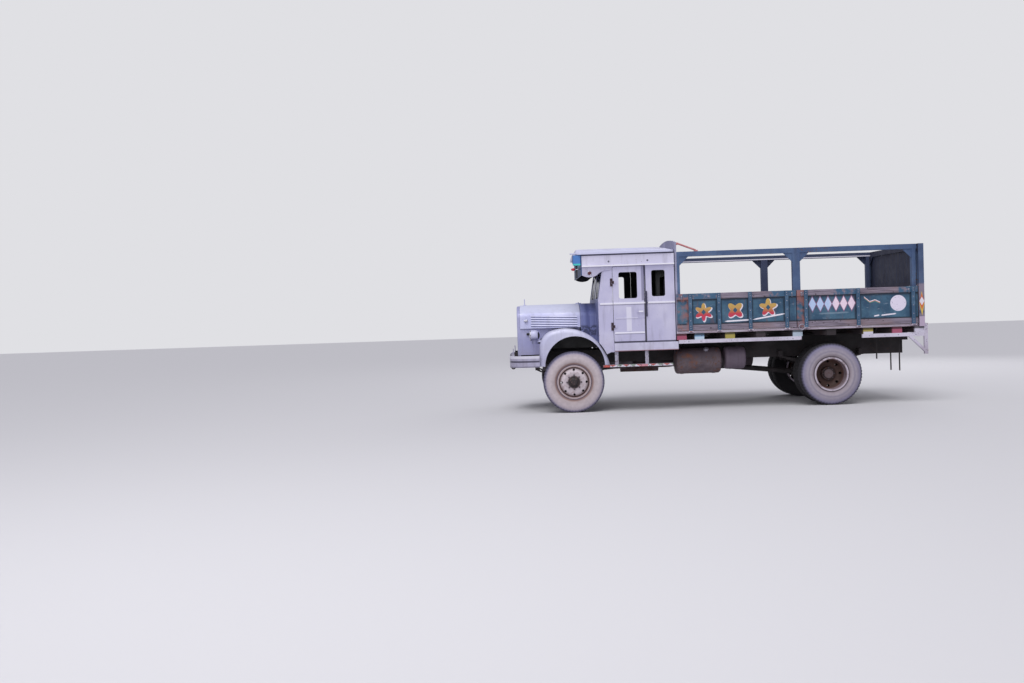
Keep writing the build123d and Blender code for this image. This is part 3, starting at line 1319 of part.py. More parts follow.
seat_front_x = cab_rear_x - 590
with BuildPart() as seat_bench:
    box((seat_front_x + 40, cab_rear_x - cab_wall - 20), (-cab_inner_y + 60, cab_inner_y - 60),
        (cab_floor_z, 1400))
    box((seat_front_x, cab_rear_x - cab_wall - 10), (-cab_inner_y + 30, cab_inner_y - 30), (1400, 1510))
    box((cab_rear_x - cab_wall - 110, cab_rear_x - cab_wall - 10), (-cab_inner_y + 30, cab_inner_y - 30),
        (1500, 1870))
    fillet(seat_bench.edges().filter_by(Axis.Y).group_by(Axis.Z)[-1], 18)
    fillet(seat_bench.edges().filter_by(Axis.Y).group_by(Axis.X)[0], 18)
write(seat_bench, "seat_bench")

steering_y = 520
wheel_ring_radius = 225
with BuildPart() as steering_wheel:
    column_foot = Vector(cab_front_x + 90, steering_y, 1150)
    column_head = Vector(cab_front_x + 420, steering_y, 1720)
    lean = column_head - column_foot
    head = Plane(origin=column_head, x_dir=(0, 1, 0), z_dir=lean)
    with BuildSketch(Plane(origin=column_head, x_dir=(0, 1, 0), z_dir=head.y_dir)) as ring:
        with Locations((wheel_ring_radius, 0)):
            Circle(14)
    revolve(ring.sketch, axis=Axis(column_head, lean))
    for turn in (90, 210, 330):
        angle = math.radians(turn)
        spoke = head.x_dir * math.cos(angle) + head.y_dir * math.sin(angle)
        rod_along(Plane(origin=column_head, x_dir=lean, z_dir=spoke), 9, wheel_ring_radius)
    rod_along(Plane(origin=column_head - lean.normalized() * 30, x_dir=(0, 1, 0), z_dir=lean), 38, 44)
    rod_along(Plane(origin=column_foot, x_dir=(0, 1, 0), z_dir=lean), 22, lean.length)
    box((cab_front_x + 60, cab_front_x + 120), (steering_y - 40, steering_y + 40), (cab_floor_z, 1180))
write(steering_wheel, "steering_wheel")

# Cargo body underneath: two runners on the frame, and the cross bearers on them
# Bearers: middles behind the front axle; the first and last end flush with the body
bearer_places = (2077, 2579, 3081, 3683, 4230, 4831, 5303)
bearer_base_z = floor_base_z - bearer_height
with BuildPart() as body_runners:
    for side in (-1, 1):
        box((body_front_x + 15, post_rear_x), sorted((side * rail_inner_y, side * rail_outer_y)),
            (frame_top, bearer_base_z))
write(body_runners, "body_runners")

with BuildPart() as cargo_bearers:
    starts = [front_axle_x + place - bearer_width / 2 for place in bearer_places]
    for start in [body_front_x, *starts, post_rear_x - bearer_width]:
        box((start, start + bearer_width), (-bearer_half_length, bearer_half_length),
            (bearer_base_z, floor_base_z))
write(cargo_bearers, "cargo_bearers")

# Plank floor behind the headboard, with open joints between the planks
floor_front_x = body_front_x + headboard_gauge + seat_gap
floor_rear_x = post_front_x - 4
floor_planks = 10
with BuildPart() as cargo_floor:
    box((floor_front_x, floor_rear_x), (-floor_half_width, floor_half_width), (floor_base_z, floor_top_z))
    pitch = 2 * floor_half_width / floor_planks
    for number in range(1, floor_planks):
        y = -floor_half_width + number * pitch
        box((floor_front_x - 1, floor_rear_x + 1), (y - 3, y + 3), (floor_top_z - 6, floor_top_z + 1),
            mode=Mode.SUBTRACT)
write(cargo_floor, "cargo_floor")

# White side rails: floor edge strips with the gates' hinge lugs, lower rails, rear brackets
# Gates: name, start and end behind the front axle, stiffener places behind the front axle
side_gates = (
    ("front", 1722, 3668, (1936, 2404, 2913, 3509)),
    ("rear", 3668 + gate_seam, post_front_x - front_axle_x - 8, (3823, 4671, 5564)),
)
tailgate_half = post_inner_y - run_gap
tailgate_stiffeners = (-960, -330, 330, 960)
edge_gauge = 12
edge_height = 35


def hinge_outline(inner, root_y, root_z, root_width, root_height):
    """A strap from a rectangle to the round knuckle on the hinge line, seen along the line."""
    with BuildSketch(Plane.YZ) as strap:
        with Locations((-root_y, root_z)):
            Rectangle(root_width, root_height)
        with Locations((-inner - gate_hinge_reach, gate_hinge_z)):
            Circle(gate_hinge_radius)
        make_hull()
    return strap.sketch


def edge_with_lugs(start, end, inner, stiffeners):
    """An edge strip along a run of floor, with two lugs and a pin at each gate stiffener."""
    top = floor_top_z
    strip_y = sorted((-inner - seat_gap, -inner - edge_gauge))
    box((start, end), strip_y, (top - edge_height, top))
    lug = hinge_outline(inner, inner + edge_gauge - 4, top - edge_height / 2, 8, edge_height - 6)
    reach = gate_knuckle_length / 2 + 3
    for x in stiffeners:
        for low in (x - reach - gate_lug_length, x + reach):
            extrude(lug.moved(Location((low, 0, 0))), amount=gate_lug_length)
        rod_along(
            Plane(origin=(x - reach - 2, -inner - gate_hinge_reach, gate_hinge_z), x_dir=(0, 1, 0),
                  z_dir=(1, 0, 0)),
            gate_pin_radius, 2 * reach + 4)


rail_gap_x = (front_axle_x + 3745, front_axle_x + 4735)
lower_rail_height = 60
lower_rail_gauge = 40
board_z = (795, 1300)
with BuildPart() as rear_edge:
    edge_with_lugs(-tailgate_half, tailgate_half, gate_length_end_x, tailgate_stiffeners)
    for y in (-1000, 0, 1000):
        box((y - 60, y + 60), (-gate_length_end_x - 1, -floor_rear_x - seat_gap),
            (floor_top_z - edge_height, floor_top_z - 8))

with BuildPart() as side_rails:
    edge_with_lugs(body_front_x, floor_rear_x, gate_inner_y,
                   [front_axle_x + place for gate in side_gates for place in gate[3]])
    rail_y = (-bearer_half_length, -bearer_half_length + lower_rail_gauge)
    rail_z = (bearer_base_z - lower_rail_height, bearer_base_z)
    box((cab_rear_x + sill_overrun + run_gap, rail_gap_x[0]), rail_y, rail_z)
    box((rail_gap_x[1], rear_end), rail_y, rail_z)
    box((post_rear_x + seat_gap, rear_end), rail_y, board_z)
    with BuildSketch(Plane.XZ.offset(bearer_half_length - lower_rail_gauge)) as brace:
        with BuildLine():
            Polyline((rear_end - 320, rail_z[0] + 5), (rear_end - 260, rail_z[0] + 5),
                     (rear_end - 30, board_z[0] + 70), (rear_end - 30, board_z[0] + 10), close=True)
        make_face()
    extrude(brace.sketch, amount=lower_rail_gauge)
    mirror(about=Plane.XZ)
    add(rear_edge.part, rotation=(0, 0, 90))
write(side_rails, "side_rails")


# Drop-side gates: top and bottom planks, a thinner middle panel, stiffeners and knuckles
def gate(start, end, inner, stiffeners):
    """A left-hand gate between two places, hinged along its lower outer edge."""
    with BuildPart() as piece:
        box((start, end), (-inner - gate_gauge, -inner), (gate_base_z, gate_top_z))
        box((start - 1, end + 1), (-inner - gate_gauge - 1, -inner - gate_gauge + 7),
            (gate_base_z + gate_plank_height, gate_top_z - gate_plank_height), mode=Mode.SUBTRACT)
        knuckle_strap = hinge_outline(inner, inner + gate_gauge + 20, gate_base_z + 6, 18, 10)
        for x in stiffeners:
            with BuildSketch(Plane.XY.offset(gate_base_z)) as channel:
                with Locations((x, -inner - gate_gauge - gate_stiffener_proud / 2 + 5)):
                    Rectangle(gate_stiffener_width, gate_stiffener_proud + 10)
            extrude(channel.sketch, amount=gate_top_z - gate_base_z)
            extrude(knuckle_strap.moved(Location((x - gate_knuckle_length / 2, 0, 0))),
                    amount=gate_knuckle_length)
            rod_along(
                Plane(origin=(x - 40, -inner - gate_hinge_reach, gate_hinge_z), x_dir=(0, 1, 0),
                      z_dir=(1, 0, 0)),
                gate_pin_radius + pin_gap, 80, mode=Mode.SUBTRACT)
    return piece


for name, start, end, stiffeners in side_gates:
    side_gate = gate(front_axle_x + start, front_axle_x + end, gate_inner_y,
                     [front_axle_x + x for x in stiffeners])
    write(side_gate, f"side_gate_{name}_left")
    write_mirrored(side_gate, f"side_gate_{name}_right")

flat_tailgate = gate(-tailgate_half, tailgate_half, gate_length_end_x, tailgate_stiffeners)
with BuildPart() as tailgate:
    add(flat_tailgate.part, rotation=(0, 0, 90))
write(tailgate, "tailgate")

# Headboard behind the cab, crowned above the cab roof
with BuildPart() as headboard:
    half = gate_inner_y - 5
    with BuildSketch(Plane.YZ.offset(body_front_x)) as board:
        with BuildLine():
            Polyline((-half, headboard_side_z), (-half, floor_base_z), (half, floor_base_z),
                     (half, headboard_side_z))
            ThreePointArc((half, headboard_side_z), (0, headboard_crown_z), (-half, headboard_side_z))
        make_face()
    extrude(board.sketch, amount=headboard_gauge)
    for number in range(1, 9):
        z = floor_top_z + number * 165
        box((body_front_x + headboard_gauge - 5, body_front_x + headboard_gauge + 1),
            (-half - 1, half + 1), (z - 4, z + 4),
            mode=Mode.SUBTRACT)
write(headboard, "headboard")

# Top frame: pillars on the floor, side rails along the top, gussets at each pillar
# Pillars: start behind the front axle, length along the lorry
pillars = ((1712 + headboard_gauge, 46), (3636, 121), (5576, 66))
gusset_leg = 150
gusset_gauge = 10
pillar_outer_y = gate_inner_y - 5
with BuildPart() as top_frame:
    pillar_y = (-pillar_outer_y, -pillar_outer_y + pillar_depth)
    rail_low_z = top_rail_z - top_rail_height
    box((front_axle_x + pillars[0][0], post_front_x), pillar_y, (rail_low_z, top_rail_z))
    for place, length in pillars:
        x = front_axle_x + place
        box((x, x + length), pillar_y, (floor_top_z, rail_low_z + 1))
        for edge, side in ((x, -1), (x + length, 1)):
            if edge - gusset_leg < front_axle_x + pillars[0][0] and side < 0:
                continue
            if edge + gusset_leg > post_front_x and side > 0:
                continue
            with BuildSketch(Plane.XZ.offset(pillar_outer_y - 10 - gusset_gauge)) as gusset:
                with BuildLine():
                    Polyline((edge - side, rail_low_z + 1), (edge + side * gusset_leg, rail_low_z + 1),
                             (edge - side, rail_low_z - gusset_leg), close=True)
                make_face()
            extrude(gusset.sketch, amount=gusset_gauge)
    mirror(about=Plane.XZ)
write(top_frame, "top_frame")

# Rear portal: two corner posts, a top beam, upper planks and corner gussets
upper_wall_base_z = gate_top_z + 12
wall_gauge = 28
with BuildPart() as rear_portal:
    box((post_front_x, post_rear_x), (-post_outer_y, -post_inner_y), (floor_base_z, top_rail_z))
    box((post_front_x - 1, post_front_x + 40), (-post_outer_y + 12, -post_inner_y - 12),
        (floor_top_z + 60, top_rail_z - 120),
        mode=Mode.SUBTRACT)
    mirror(about=Plane.XZ)
    box((post_front_x, post_rear_x), (-post_outer_y, post_outer_y), (top_rail_z - 90, top_rail_z))
    wall_x = (post_front_x + 30, post_front_x + 30 + wall_gauge)
    box(wall_x, (-post_inner_y - 1, post_inner_y + 1), (upper_wall_base_z, top_rail_z - 80))
    for number in range(1, 14):
        y = -post_inner_y + number * 2 * post_inner_y / 14
        box((wall_x[0] - 1, wall_x[0] + 5), (y - 4, y + 4), (upper_wall_base_z - 1, top_rail_z - 90),
            mode=Mode.SUBTRACT)
    box((wall_x[0] - 12, wall_x[1] + 12), (-post_inner_y - 1, post_inner_y + 1),
        (upper_wall_base_z, upper_wall_base_z + 70))
    for side in (-1, 1):
        with BuildSketch(Plane.YZ.offset(post_front_x + 2)) as corner:
            with BuildLine():
                Polyline((side * (post_inner_y + 1), top_rail_z - 88),
                         (side * (post_inner_y - 170), top_rail_z - 88),
                         (side * (post_inner_y + 1), top_rail_z - 260), close=True)
            make_face()
        extrude(corner.sketch, amount=gusset_gauge)
write(rear_portal, "rear_portal")

# Brace rod from the headboard's left corner down to the top rail, and hanging straps
brace_radius = 15
with BuildPart() as brace_rod:
    foot = Vector(front_axle_x + 2065, -pillar_outer_y + 25, top_rail_z + brace_radius + 4)
    head = Vector(body_front_x + headboard_gauge + brace_radius + 6, -pillar_outer_y + 25, 2740)
    run = head - foot
    rod_along(Plane(origin=foot, x_dir=(0, 1, 0), z_dir=run), brace_radius, run.length)
    box((foot.X - 30, foot.X + 30), (foot.Y - 20, foot.Y + 20), (top_rail_z, top_rail_z + 22))
    box((body_front_x + headboard_gauge, head.X + 5), (head.Y - 20, head.Y + 20),
        (head.Z - 25, head.Z + 15))
write(brace_rod, "brace_rod")

# Straps: place behind the front axle, distance out, lowest and highest level
straps = ((5078, 800, 720, floor_base_z), (5303, 820, 527, bearer_base_z), (5440, 840, 515, floor_base_z))
with BuildPart() as hanging_straps:
    for place, out, low, high in straps:
        x = front_axle_x + place
        box((x - 11, x + 11), (-out - 3, -out + 3), (low, high))
write(hanging_straps, "hanging_straps")
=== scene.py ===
import math

import bmesh
import bpy
import numpy as np
from mathutils import Matrix, Vector


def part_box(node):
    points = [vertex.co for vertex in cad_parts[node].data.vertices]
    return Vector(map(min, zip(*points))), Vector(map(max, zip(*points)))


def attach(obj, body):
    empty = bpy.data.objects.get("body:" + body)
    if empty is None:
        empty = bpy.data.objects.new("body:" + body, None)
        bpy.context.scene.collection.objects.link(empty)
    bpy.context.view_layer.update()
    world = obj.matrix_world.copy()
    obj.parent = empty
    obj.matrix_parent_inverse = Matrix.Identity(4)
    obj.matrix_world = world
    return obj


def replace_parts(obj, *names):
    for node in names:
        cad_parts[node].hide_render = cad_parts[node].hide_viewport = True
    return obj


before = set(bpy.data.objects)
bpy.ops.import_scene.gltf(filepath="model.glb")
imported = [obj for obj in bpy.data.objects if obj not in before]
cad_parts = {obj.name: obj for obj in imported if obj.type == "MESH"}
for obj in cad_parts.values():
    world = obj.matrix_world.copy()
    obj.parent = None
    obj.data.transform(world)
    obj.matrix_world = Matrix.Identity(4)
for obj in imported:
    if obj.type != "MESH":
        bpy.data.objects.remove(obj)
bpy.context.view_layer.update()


def middle(node):
    low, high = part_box(node)
    return (low + high) / 2


# Places that the CAD nodes give
front_axle_x = middle("front_tyre_left").x
rear_axle_x = middle("rear_tyres_left").x
axle_z = middle("front_tyre_left").z
front_wheel_y = -middle("front_tyre_left").y
rear_wheel_y = -middle("rear_tyres_left").y
tyre_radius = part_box("front_tyre_left")[1].z - axle_z
cab_rear_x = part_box("cab_back")[1].x
post_rear_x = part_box("rear_portal")[1].x


def behind(distance):
    """The X of a place that far behind the front axle."""
    return front_axle_x + distance


visor_front_x = behind(0.1627)
gate_outer_y = 1.165
panel_low_z, panel_top_z = 1.398, 1.807
panel_face_out = (1.1265, 1.1302)
# The gates' stiffeners, behind the front axle
front_stiffeners = (1.936, 2.404, 2.913, 3.509)
rear_stiffeners = (3.823, 4.671, 5.564)


def put_in_scene(name, data):
    """A new object that holds the data."""
    thing = bpy.data.objects.new(name, data)
    bpy.context.scene.collection.objects.link(thing)
    return thing


# Camera: beside the lorry, ahead of its middle, turned a little about its own axis
def aim_camera(place, yaw, pitch, roll, lens):
    data = bpy.data.cameras.new("roadside")
    data.sensor_width = 36
    data.lens = lens
    camera = put_in_scene("roadside", data)
    level_right = Vector((math.cos(yaw), math.sin(yaw), 0))
    forward = Vector((-math.sin(yaw) * math.cos(pitch), math.cos(yaw) * math.cos(pitch), -math.sin(pitch)))
    level_up = level_right.cross(forward)
    right = level_right * math.cos(roll) - level_up * math.sin(roll)
    up = level_up * math.cos(roll) + level_right * math.sin(roll)
    turn = Matrix((right, up, -forward)).transposed().to_4x4()
    camera.matrix_world = Matrix.Translation(place) @ turn
    bpy.context.scene.camera = camera


aim_camera(place=Vector((behind(-0.700), -16.79, 1.62)), yaw=math.radians(1.117),
           pitch=math.radians(1.474), roll=math.radians(1.912), lens=33.4)
bpy.context.scene.view_settings.view_transform = "Standard"


# Shader building
def linear(hex_code):
    """A colour written as sRGB hex, turned to linear."""
    parts = np.array([int(hex_code[at:at + 2], 16) for at in (0, 2, 4)]) / 255
    straight = np.where(parts <= 0.04045, parts / 12.92, ((parts + 0.055) / 1.055) ** 2.4)
    return (*straight.tolist(), 1.0)


def plug(node, key, value):
    """Gives a node's input a value, or a link from a socket or from a node's first output in use."""
    if isinstance(value, bpy.types.Node):
        value = next(socket for socket in value.outputs if socket.enabled)
    if isinstance(value, bpy.types.NodeSocket):
        node.id_data.links.new(value, node.inputs[key])
    else:
        node.inputs[key].default_value = value


def add(kind, inputs=(), stops=(), tree=None, **settings):
    """Adds a shader node, with its settings, its values or links, and a ramp's stops. Where no tree
    is given it goes into the one that its links come from."""
    values = dict(inputs if isinstance(inputs, dict) else enumerate(inputs))
    tree = tree or next(value.id_data for value in values.values() if hasattr(value, "id_data"))
    node = tree.nodes.new("ShaderNode" + kind)
    for name, value in settings.items():
        setattr(node, name, value)
    for key, value in values.items():
        plug(node, key, value)
    if stops:
        ramp = node.color_ramp
        for place, colour in stops[2:]:
            ramp.elements.new(place)
        for element, (place, colour) in zip(ramp.elements, sorted(stops)):
            element.position = place
            element.color = linear(colour)
    return node


def start(name, rough=0.5):
    """A new material with its shader, and the object coordinates in metres."""
    material = bpy.data.materials.new(name)
    material.use_nodes = True
    tree = material.node_tree
    tree.nodes.clear()
    shader = add("BsdfPrincipled", tree=tree)
    shader.inputs["Roughness"].default_value = rough
    add("OutputMaterial", {"Surface": shader})
    return material, shader, add("TexCoord", tree=tree).outputs["Object"]


def times(first, second):
    return add("Math", (first, second), operation="MULTIPLY")


def over(mask, under, top):
    """One colour laid over another where the mask is 1; colours are links or hex codes."""
    under, top = (linear(colour) if isinstance(colour, str) else colour for colour in (under, top))
    return add("Mix", {0: mask, 6: under, 7: top}, data_type="RGBA")


def repaint(shader, mask, colour, share=1.0):
    """Lays that share of one more colour over a shader's base colour where the mask is 1."""
    if share < 1:
        mask = times(mask, share)
    plug(shader, "Base Color", over(mask, shader.inputs["Base Color"].links[0].from_socket, colour))


def rise(value, low, high):
    """0 at low, 1 at high and even between; low may be the larger."""
    return add("MapRange", (value, low, high), clamp=True)


def spread(place):
    """X, Y, Z and out, the distance from the lorry's middle plane."""
    parts = add("SeparateXYZ", (place,)).outputs
    return {"x": parts[0], "y": parts[1], "z": parts[2],
            "out": add("Math", (parts[1],), operation="ABSOLUTE")}


def within(place, soft=0.0015, **ranges):
    """1 inside the ranges of x, y, z, out or back, and 0 outside; back is X behind the front axle."""
    values = spread(place)
    mask = 1.0
    for axis, (low, high) in ranges.items():
        if axis == "back":
            axis, low, high = "x", behind(low), behind(high)
        mask = times(mask, rise(values[axis], low - soft, low))
        mask = times(mask, rise(values[axis], high + soft, high))
    return mask


def blotches(place, size, low, high, detail=4.0, stretch=(1, 1, 1)):
    """Irregular patches about size metres across, 0 outside and 1 inside."""
    stretched = add("Mapping", {"Vector": place, "Scale": stretch})
    noise = add("TexNoise", {"Vector": stretched, "Scale": 1 / size, "Detail": detail, "Roughness": 0.6})
    return rise(noise, low, high)


def varied_roughness(shader, mask, smooth, rough):
    """Roughness from smooth where the mask is 0 to rough where it is 1."""
    plug(shader, "Roughness", add("MapRange", {0: mask, 3: smooth, 4: rough}))


def bumps(shader, height, strength, depth):
    """A bump from a height between 0 and 1, depth in metres."""
    plug(shader, "Normal", add("Bump", {"Height": height, "Strength": strength, "Distance": depth}))


def facing(place, direction, low=0.3, high=0.5):
    """1 on faces that look along a direction, which may differ from place to place, else 0."""
    normal = add("NewGeometry", tree=place.id_data).outputs["Normal"]
    return rise(add("VectorMath", (normal, direction), operation="DOT_PRODUCT"), low, high)


def gap(value, level):
    """How far a value is from a level."""
    difference = add("Math", (value, level), operation="SUBTRACT")
    return add("Math", (difference,), operation="ABSOLUTE")


def lozenge(place, x, z, half_x, half_z):
    """1 inside a diamond seen from the side: |x| / half_x + |z| / half_z below 1."""
    values = spread(place)
    across, upward = gap(values["x"], x), gap(values["z"], z)
    sum_of_both = add("Math", (across, 1 / half_x, times(upward, 1 / half_z)), operation="MULTIPLY_ADD")
    return rise(sum_of_both, 1.02, 0.98)


def flower(place, x, z, radius, petals, depth, turn=0.0):
    """1 inside a flower seen from the side: the edge's radius swings by depth with the petals."""
    values = spread(place)
    across = add("Math", (values["x"], x), operation="SUBTRACT")
    upward = add("Math", (values["z"], z), operation="SUBTRACT")
    square = add("Math", (across, across, times(upward, upward)), operation="MULTIPLY_ADD")
    reach = add("Math", (square,), operation="SQRT")
    angle = add("Math", (upward, across), operation="ARCTAN2")
    phase = add("Math", (angle, petals, turn), operation="MULTIPLY_ADD")
    swing = add("Math", (phase,), operation="COSINE")
    edge = add("Math", (swing, radius * depth, radius * (1 - depth)), operation="MULTIPLY_ADD")
    return rise(add("Math", (reach, edge), operation="SUBTRACT"), 0.002, -0.002)


def stroke(place, x, z, run, climb, half):
    """1 along a slanting brush stroke that starts at (x, z) and tapers at its ends."""
    values = spread(place)
    share = times(add("Math", (values["x"], x), operation="SUBTRACT"), 1 / run)
    line = add("Math", (share, climb, z), operation="MULTIPLY_ADD")
    off = gap(values["z"], line)
    taper = times(rise(share, 0.0, 0.12), rise(share, 1.0, 0.88))
    width = add("Math", (taper, half, -0.001), operation="MULTIPLY_ADD")
    return rise(add("Math", (off, width), operation="SUBTRACT"), 0.001, -0.001)


# Brushed enamel on sheet steel: faded in clouds, streaked by rain, chipped to rust, dusty low down
def enamel(name, base, worn, grime="5c5866", rust="6b4a3c", gloss=0.45, metal=0.0, chips=0.66, dust_top=1.3,
           dust="8d8490", dents=0.004):
    material, shader, place = start(name)
    colour = over(blotches(place, 0.55, 0.42, 0.66), base, worn)
    streaks = blotches(place, 0.09, 0.54, 0.80, 3, (1, 1, 0.13))
    colour = over(times(streaks, 0.32), colour, grime)
    low = rise(spread(place)["z"], dust_top, 0.75)
    mottled = times(low, blotches(place, 0.12, 0.30, 0.62))
    colour = over(times(mottled, 0.5), colour, dust)
    chipped = times(blotches(place, 0.022, chips, chips + 0.03, 6), blotches(place, 0.45, 0.46, 0.60))
    colour = over(chipped, colour, rust)
    plug(shader, "Base Color", colour)
    varied_roughness(shader, blotches(place, 0.18, 0.3, 0.7), gloss - 0.07, gloss + 0.16)
    shader.inputs["Metallic"].default_value = metal
    waves = add("TexNoise", {"Vector": place, "Scale": 4.0, "Detail": 5.0, "Roughness": 0.45})
    bumps(shader, waves, 0.5, dents)
    return material, shader, place


# Settings that several enamels share: the cab's silver one, and the blue one of the body's steel frame
silver = {"metal": 0.1, "gloss": 0.42}
frame_blue = {"grime": "3a3b48", "rust": "6d4a3b", "gloss": 0.55, "chips": 0.60}


# Sawn softwood planks left in the weather: silvery, with dark cracks along the grain
def plank_colour(place, pale="a095a6", dark="544a57", warm="94756f", run=0):
    """The grain runs along X (0) or Y (1)."""
    def drawn_out(share):
        return [share if axis == run else 1 for axis in range(3)]

    grain = blotches(place, 0.012, 0.30, 0.72, 8, drawn_out(0.04))
    colour = over(grain, dark, pale)
    stained = blotches(place, 0.30, 0.50, 0.70, 4, drawn_out(0.4))
    colour = over(times(stained, 0.5), colour, warm)
    knots = blotches(place, 0.035, 0.72, 0.75, 1, drawn_out(0.5))
    return over(knots, colour, "3a3034"), grain


def planks(name, pale, dark, warm, rough=0.82):
    material, shader, place = start(name, rough)
    colour, grain = plank_colour(place, pale, dark, warm)
    plug(shader, "Base Color", colour)
    bumps(shader, grain, 0.6, 0.003)
    return material, shader, place


# Bonnet: silver-blue enamel, its upward faces painted paler as painted light, a painted highlight on each
# louvre's rib and painted shade under each louvre
def bonnet_enamel():
    louvres_back, louvre_top_z, louvre_pitch, louvre_slope = (-0.681, 0.110), 1.632, 0.040, -0.0405
    material, shader, place = enamel("bonnet_silver_blue_enamel", "b8bade", "c6c7e5", metal=0.1, gloss=0.4)
    # Upward faces painted paler: painted light from above
    repaint(shader, facing(place, (0, 0, 1), 0.55, 0.95), "dde0f3", 0.6)
    values = spread(place)
    past_first = add("Math", (values["x"], behind(louvres_back[0])), operation="SUBTRACT")
    top = add("Math", (past_first, louvre_slope, louvre_top_z), operation="MULTIPLY_ADD")
    below = times(add("Math", (top, values["z"]), operation="SUBTRACT"), 1 / louvre_pitch)
    share = add("Math", (below,), operation="FRACT")
    line = times(rise(share, 0.42, 0.48), rise(share, 0.80, 0.70))
    rows = times(rise(below, 0.0, 0.02), rise(below, 5.0, 4.98))
    sides = within(place, back=louvres_back, out=(0.40, 0.60))
    # Painted highlight along each louvre's rib
    louvre_highlight = times(rise(share, 0.0, 0.06), rise(share, 0.36, 0.28))
    repaint(shader, times(times(louvre_highlight, rows), times(sides, 0.7)), "dcdcf0")
    # Painted shade in the line under each louvre
    repaint(shader, times(times(line, rows), times(sides, 0.9)), "444d80")
    return material


# Fender: silver enamel outside, the underside painted near-black as painted shade with road dirt, a painted
# shadow under the lamp pod
def fender_enamel(name, middle_y):
    material, shader, place = enamel(name, "bcbcda", "cfcfe6", **silver)
    centre = (-behind(0.02), -middle_y, -0.72)
    outwards = add("VectorMath", (place, centre), operation="ADD")
    # Underside painted near-black: painted shade, with road dirt
    shaded_underside = times(facing(place, outwards, 0.0, -0.02), within(place, back=(-0.575, 0.60)))
    repaint(shader, shaded_underside, "141215")
    # Painted shadow under the lamp pod's foot
    pod_shadow = within(place, 0.035, back=(-0.75, -0.585), z=(1.10, 1.235))
    repaint(shader, pod_shadow, "5a5b86", 0.7)
    return material


# Cab sides and doors: silver enamel, mouldings painted white as a painted highlight with painted shade
# under each, painted shade along the door's foot, a painted shadow by the door's rear edge, dark hinge
# leaves, and insides painted black as painted shade
def cab_side_enamel():
    material, shader, place = enamel("cab_side_enamel", "bfbcda", "cdcae2", **silver)
    stripe = within(place, 0.008, back=(0.900, 0.975), z=(1.33, 1.72), out=(1.075, 1.082))
    repaint(shader, stripe, "e6e4f2", 0.7)
    for low, high, share, front, rear in ((1.768, 1.799, 1.0, 0.47, 1.74), (1.532, 1.550, 0.35, 0.72, 1.08),
                                          (1.284, 1.310, 1.0, 0.70, 1.19)):
        run = (front, rear)
        # Each moulding painted white as a painted highlight, with painted shade just under it
        bead = within(place, z=(low, high), out=(1.0790, 1.0925), back=run)
        repaint(shader, bead, "ebe9f5", share)
        shade = within(place, 0.003, z=(low - 0.010, low - 0.003), out=(1.0785, 1.082), back=run)
        repaint(shader, shade, "5a5878", share * 0.6)
    # Painted shade along the door's foot, above the sill
    foot = within(place, 0.008, z=(1.130, 1.152), out=(1.070, 1.082), back=(0.684, 1.70))
    repaint(shader, foot, "302e42", 0.9)
    shut_line = within(place, 0.004, back=(1.196, 1.224), z=(1.13, 2.40), out=(1.07, 1.082))
    repaint(shader, shut_line, "26242f", 0.85)
    shadow = within(place, 0.012, back=(1.160, 1.215), z=(1.83, 2.39), out=(1.07, 1.082))
    repaint(shader, shadow, "46436a", 0.55)
    grip = within(place, back=(1.214, 1.250), z=(1.53, 2.00), out=(1.086, 1.18))
    repaint(shader, grip, "33304a")
    lever = within(place, back=(1.100, 1.180), z=(1.61, 1.68), out=(1.0835, 1.15))
    repaint(shader, lever, "efedf6")
    for level in (1.406, 2.135):
        leaf = within(place, back=(0.640, 0.706), z=(level - 0.067, level + 0.067), out=(1.0825, 1.12))
        repaint(shader, leaf, "3a2730")
    # Insides painted near-black as painted shade
    repaint(shader, within(place, out=(0.0, 1.0775)), "17161b")
    return material


# Roof: silver sheet, the cap painted paler as painted light from above and dusty on top, white rain
# moulding, painted shade under the cap's edge, headlining painted dark as painted shade
def roof_enamel():
    material, shader, place = enamel("roof_enamel", "d2cfe6", "dedbee", **silver)
    # The cap painted paler: painted light from above
    repaint(shader, within(place, z=(2.603, 2.72)), "cdcfeb", 0.8)
    settled = times(within(place, z=(2.66, 2.72)), blotches(place, 0.35, 0.40, 0.72, 5))
    repaint(shader, settled, "a39da6", 0.45)
    # Painted shade under the cap's edge
    repaint(shader, within(place, 0.004, z=(2.586, 2.606), out=(1.05, 1.125)), "45445e")
    repaint(shader, within(place, z=(2.4035, 2.4225), out=(1.097, 1.125)), "f0eef7")
    # Headlining painted near-black as painted shade
    shaded_lining = within(place, x=(behind(0.20), cab_rear_x - 0.04), out=(0.0, 1.037), z=(2.40, 2.643))
    repaint(shader, shaded_lining, "1b1a20")
    for x in (0.626, 1.264):
        stud = flower(place, behind(x), 2.480, 0.016, 1, 0.0)
        repaint(shader, times(stud, within(place, out=(1.09, 1.10))), "5a586e")
    return material


# Visor: silver cheeks, a dark blue front board, a sky-blue box lamp on a turquoise shelf, painted shade
# under the shelf and behind the cheeks
def visor_enamel():
    material, shader, place = enamel("visor_enamel", "b0adc8", "c3c0d8", **silver)
    front = within(place, x=(visor_front_x - 0.2, visor_front_x + 0.0195))
    repaint(shader, front, "23406e")
    ahead = within(place, x=(visor_front_x - 0.2, visor_front_x - 0.001))
    repaint(shader, times(ahead, within(place, z=(2.455, 2.61))), "4a7cc0")
    repaint(shader, times(ahead, within(place, z=(2.43, 2.461))), "45c8c4")
    # Painted shade under the shelf
    repaint(shader, times(ahead, within(place, z=(2.2, 2.432))), "2e3038")
    rim = times(ahead, within(place, x=(visor_front_x - 0.2, visor_front_x - 0.118), z=(2.46, 2.61)))
    repaint(shader, rim, "203a66", 0.6)
    # Painted shade behind the cheeks, near-black
    shade_behind_cheek = within(place, out=(0.0, 1.0805), x=(visor_front_x + 0.0195, behind(0.7)))
    repaint(shader, shade_behind_cheek, "1a1a20")
    return material
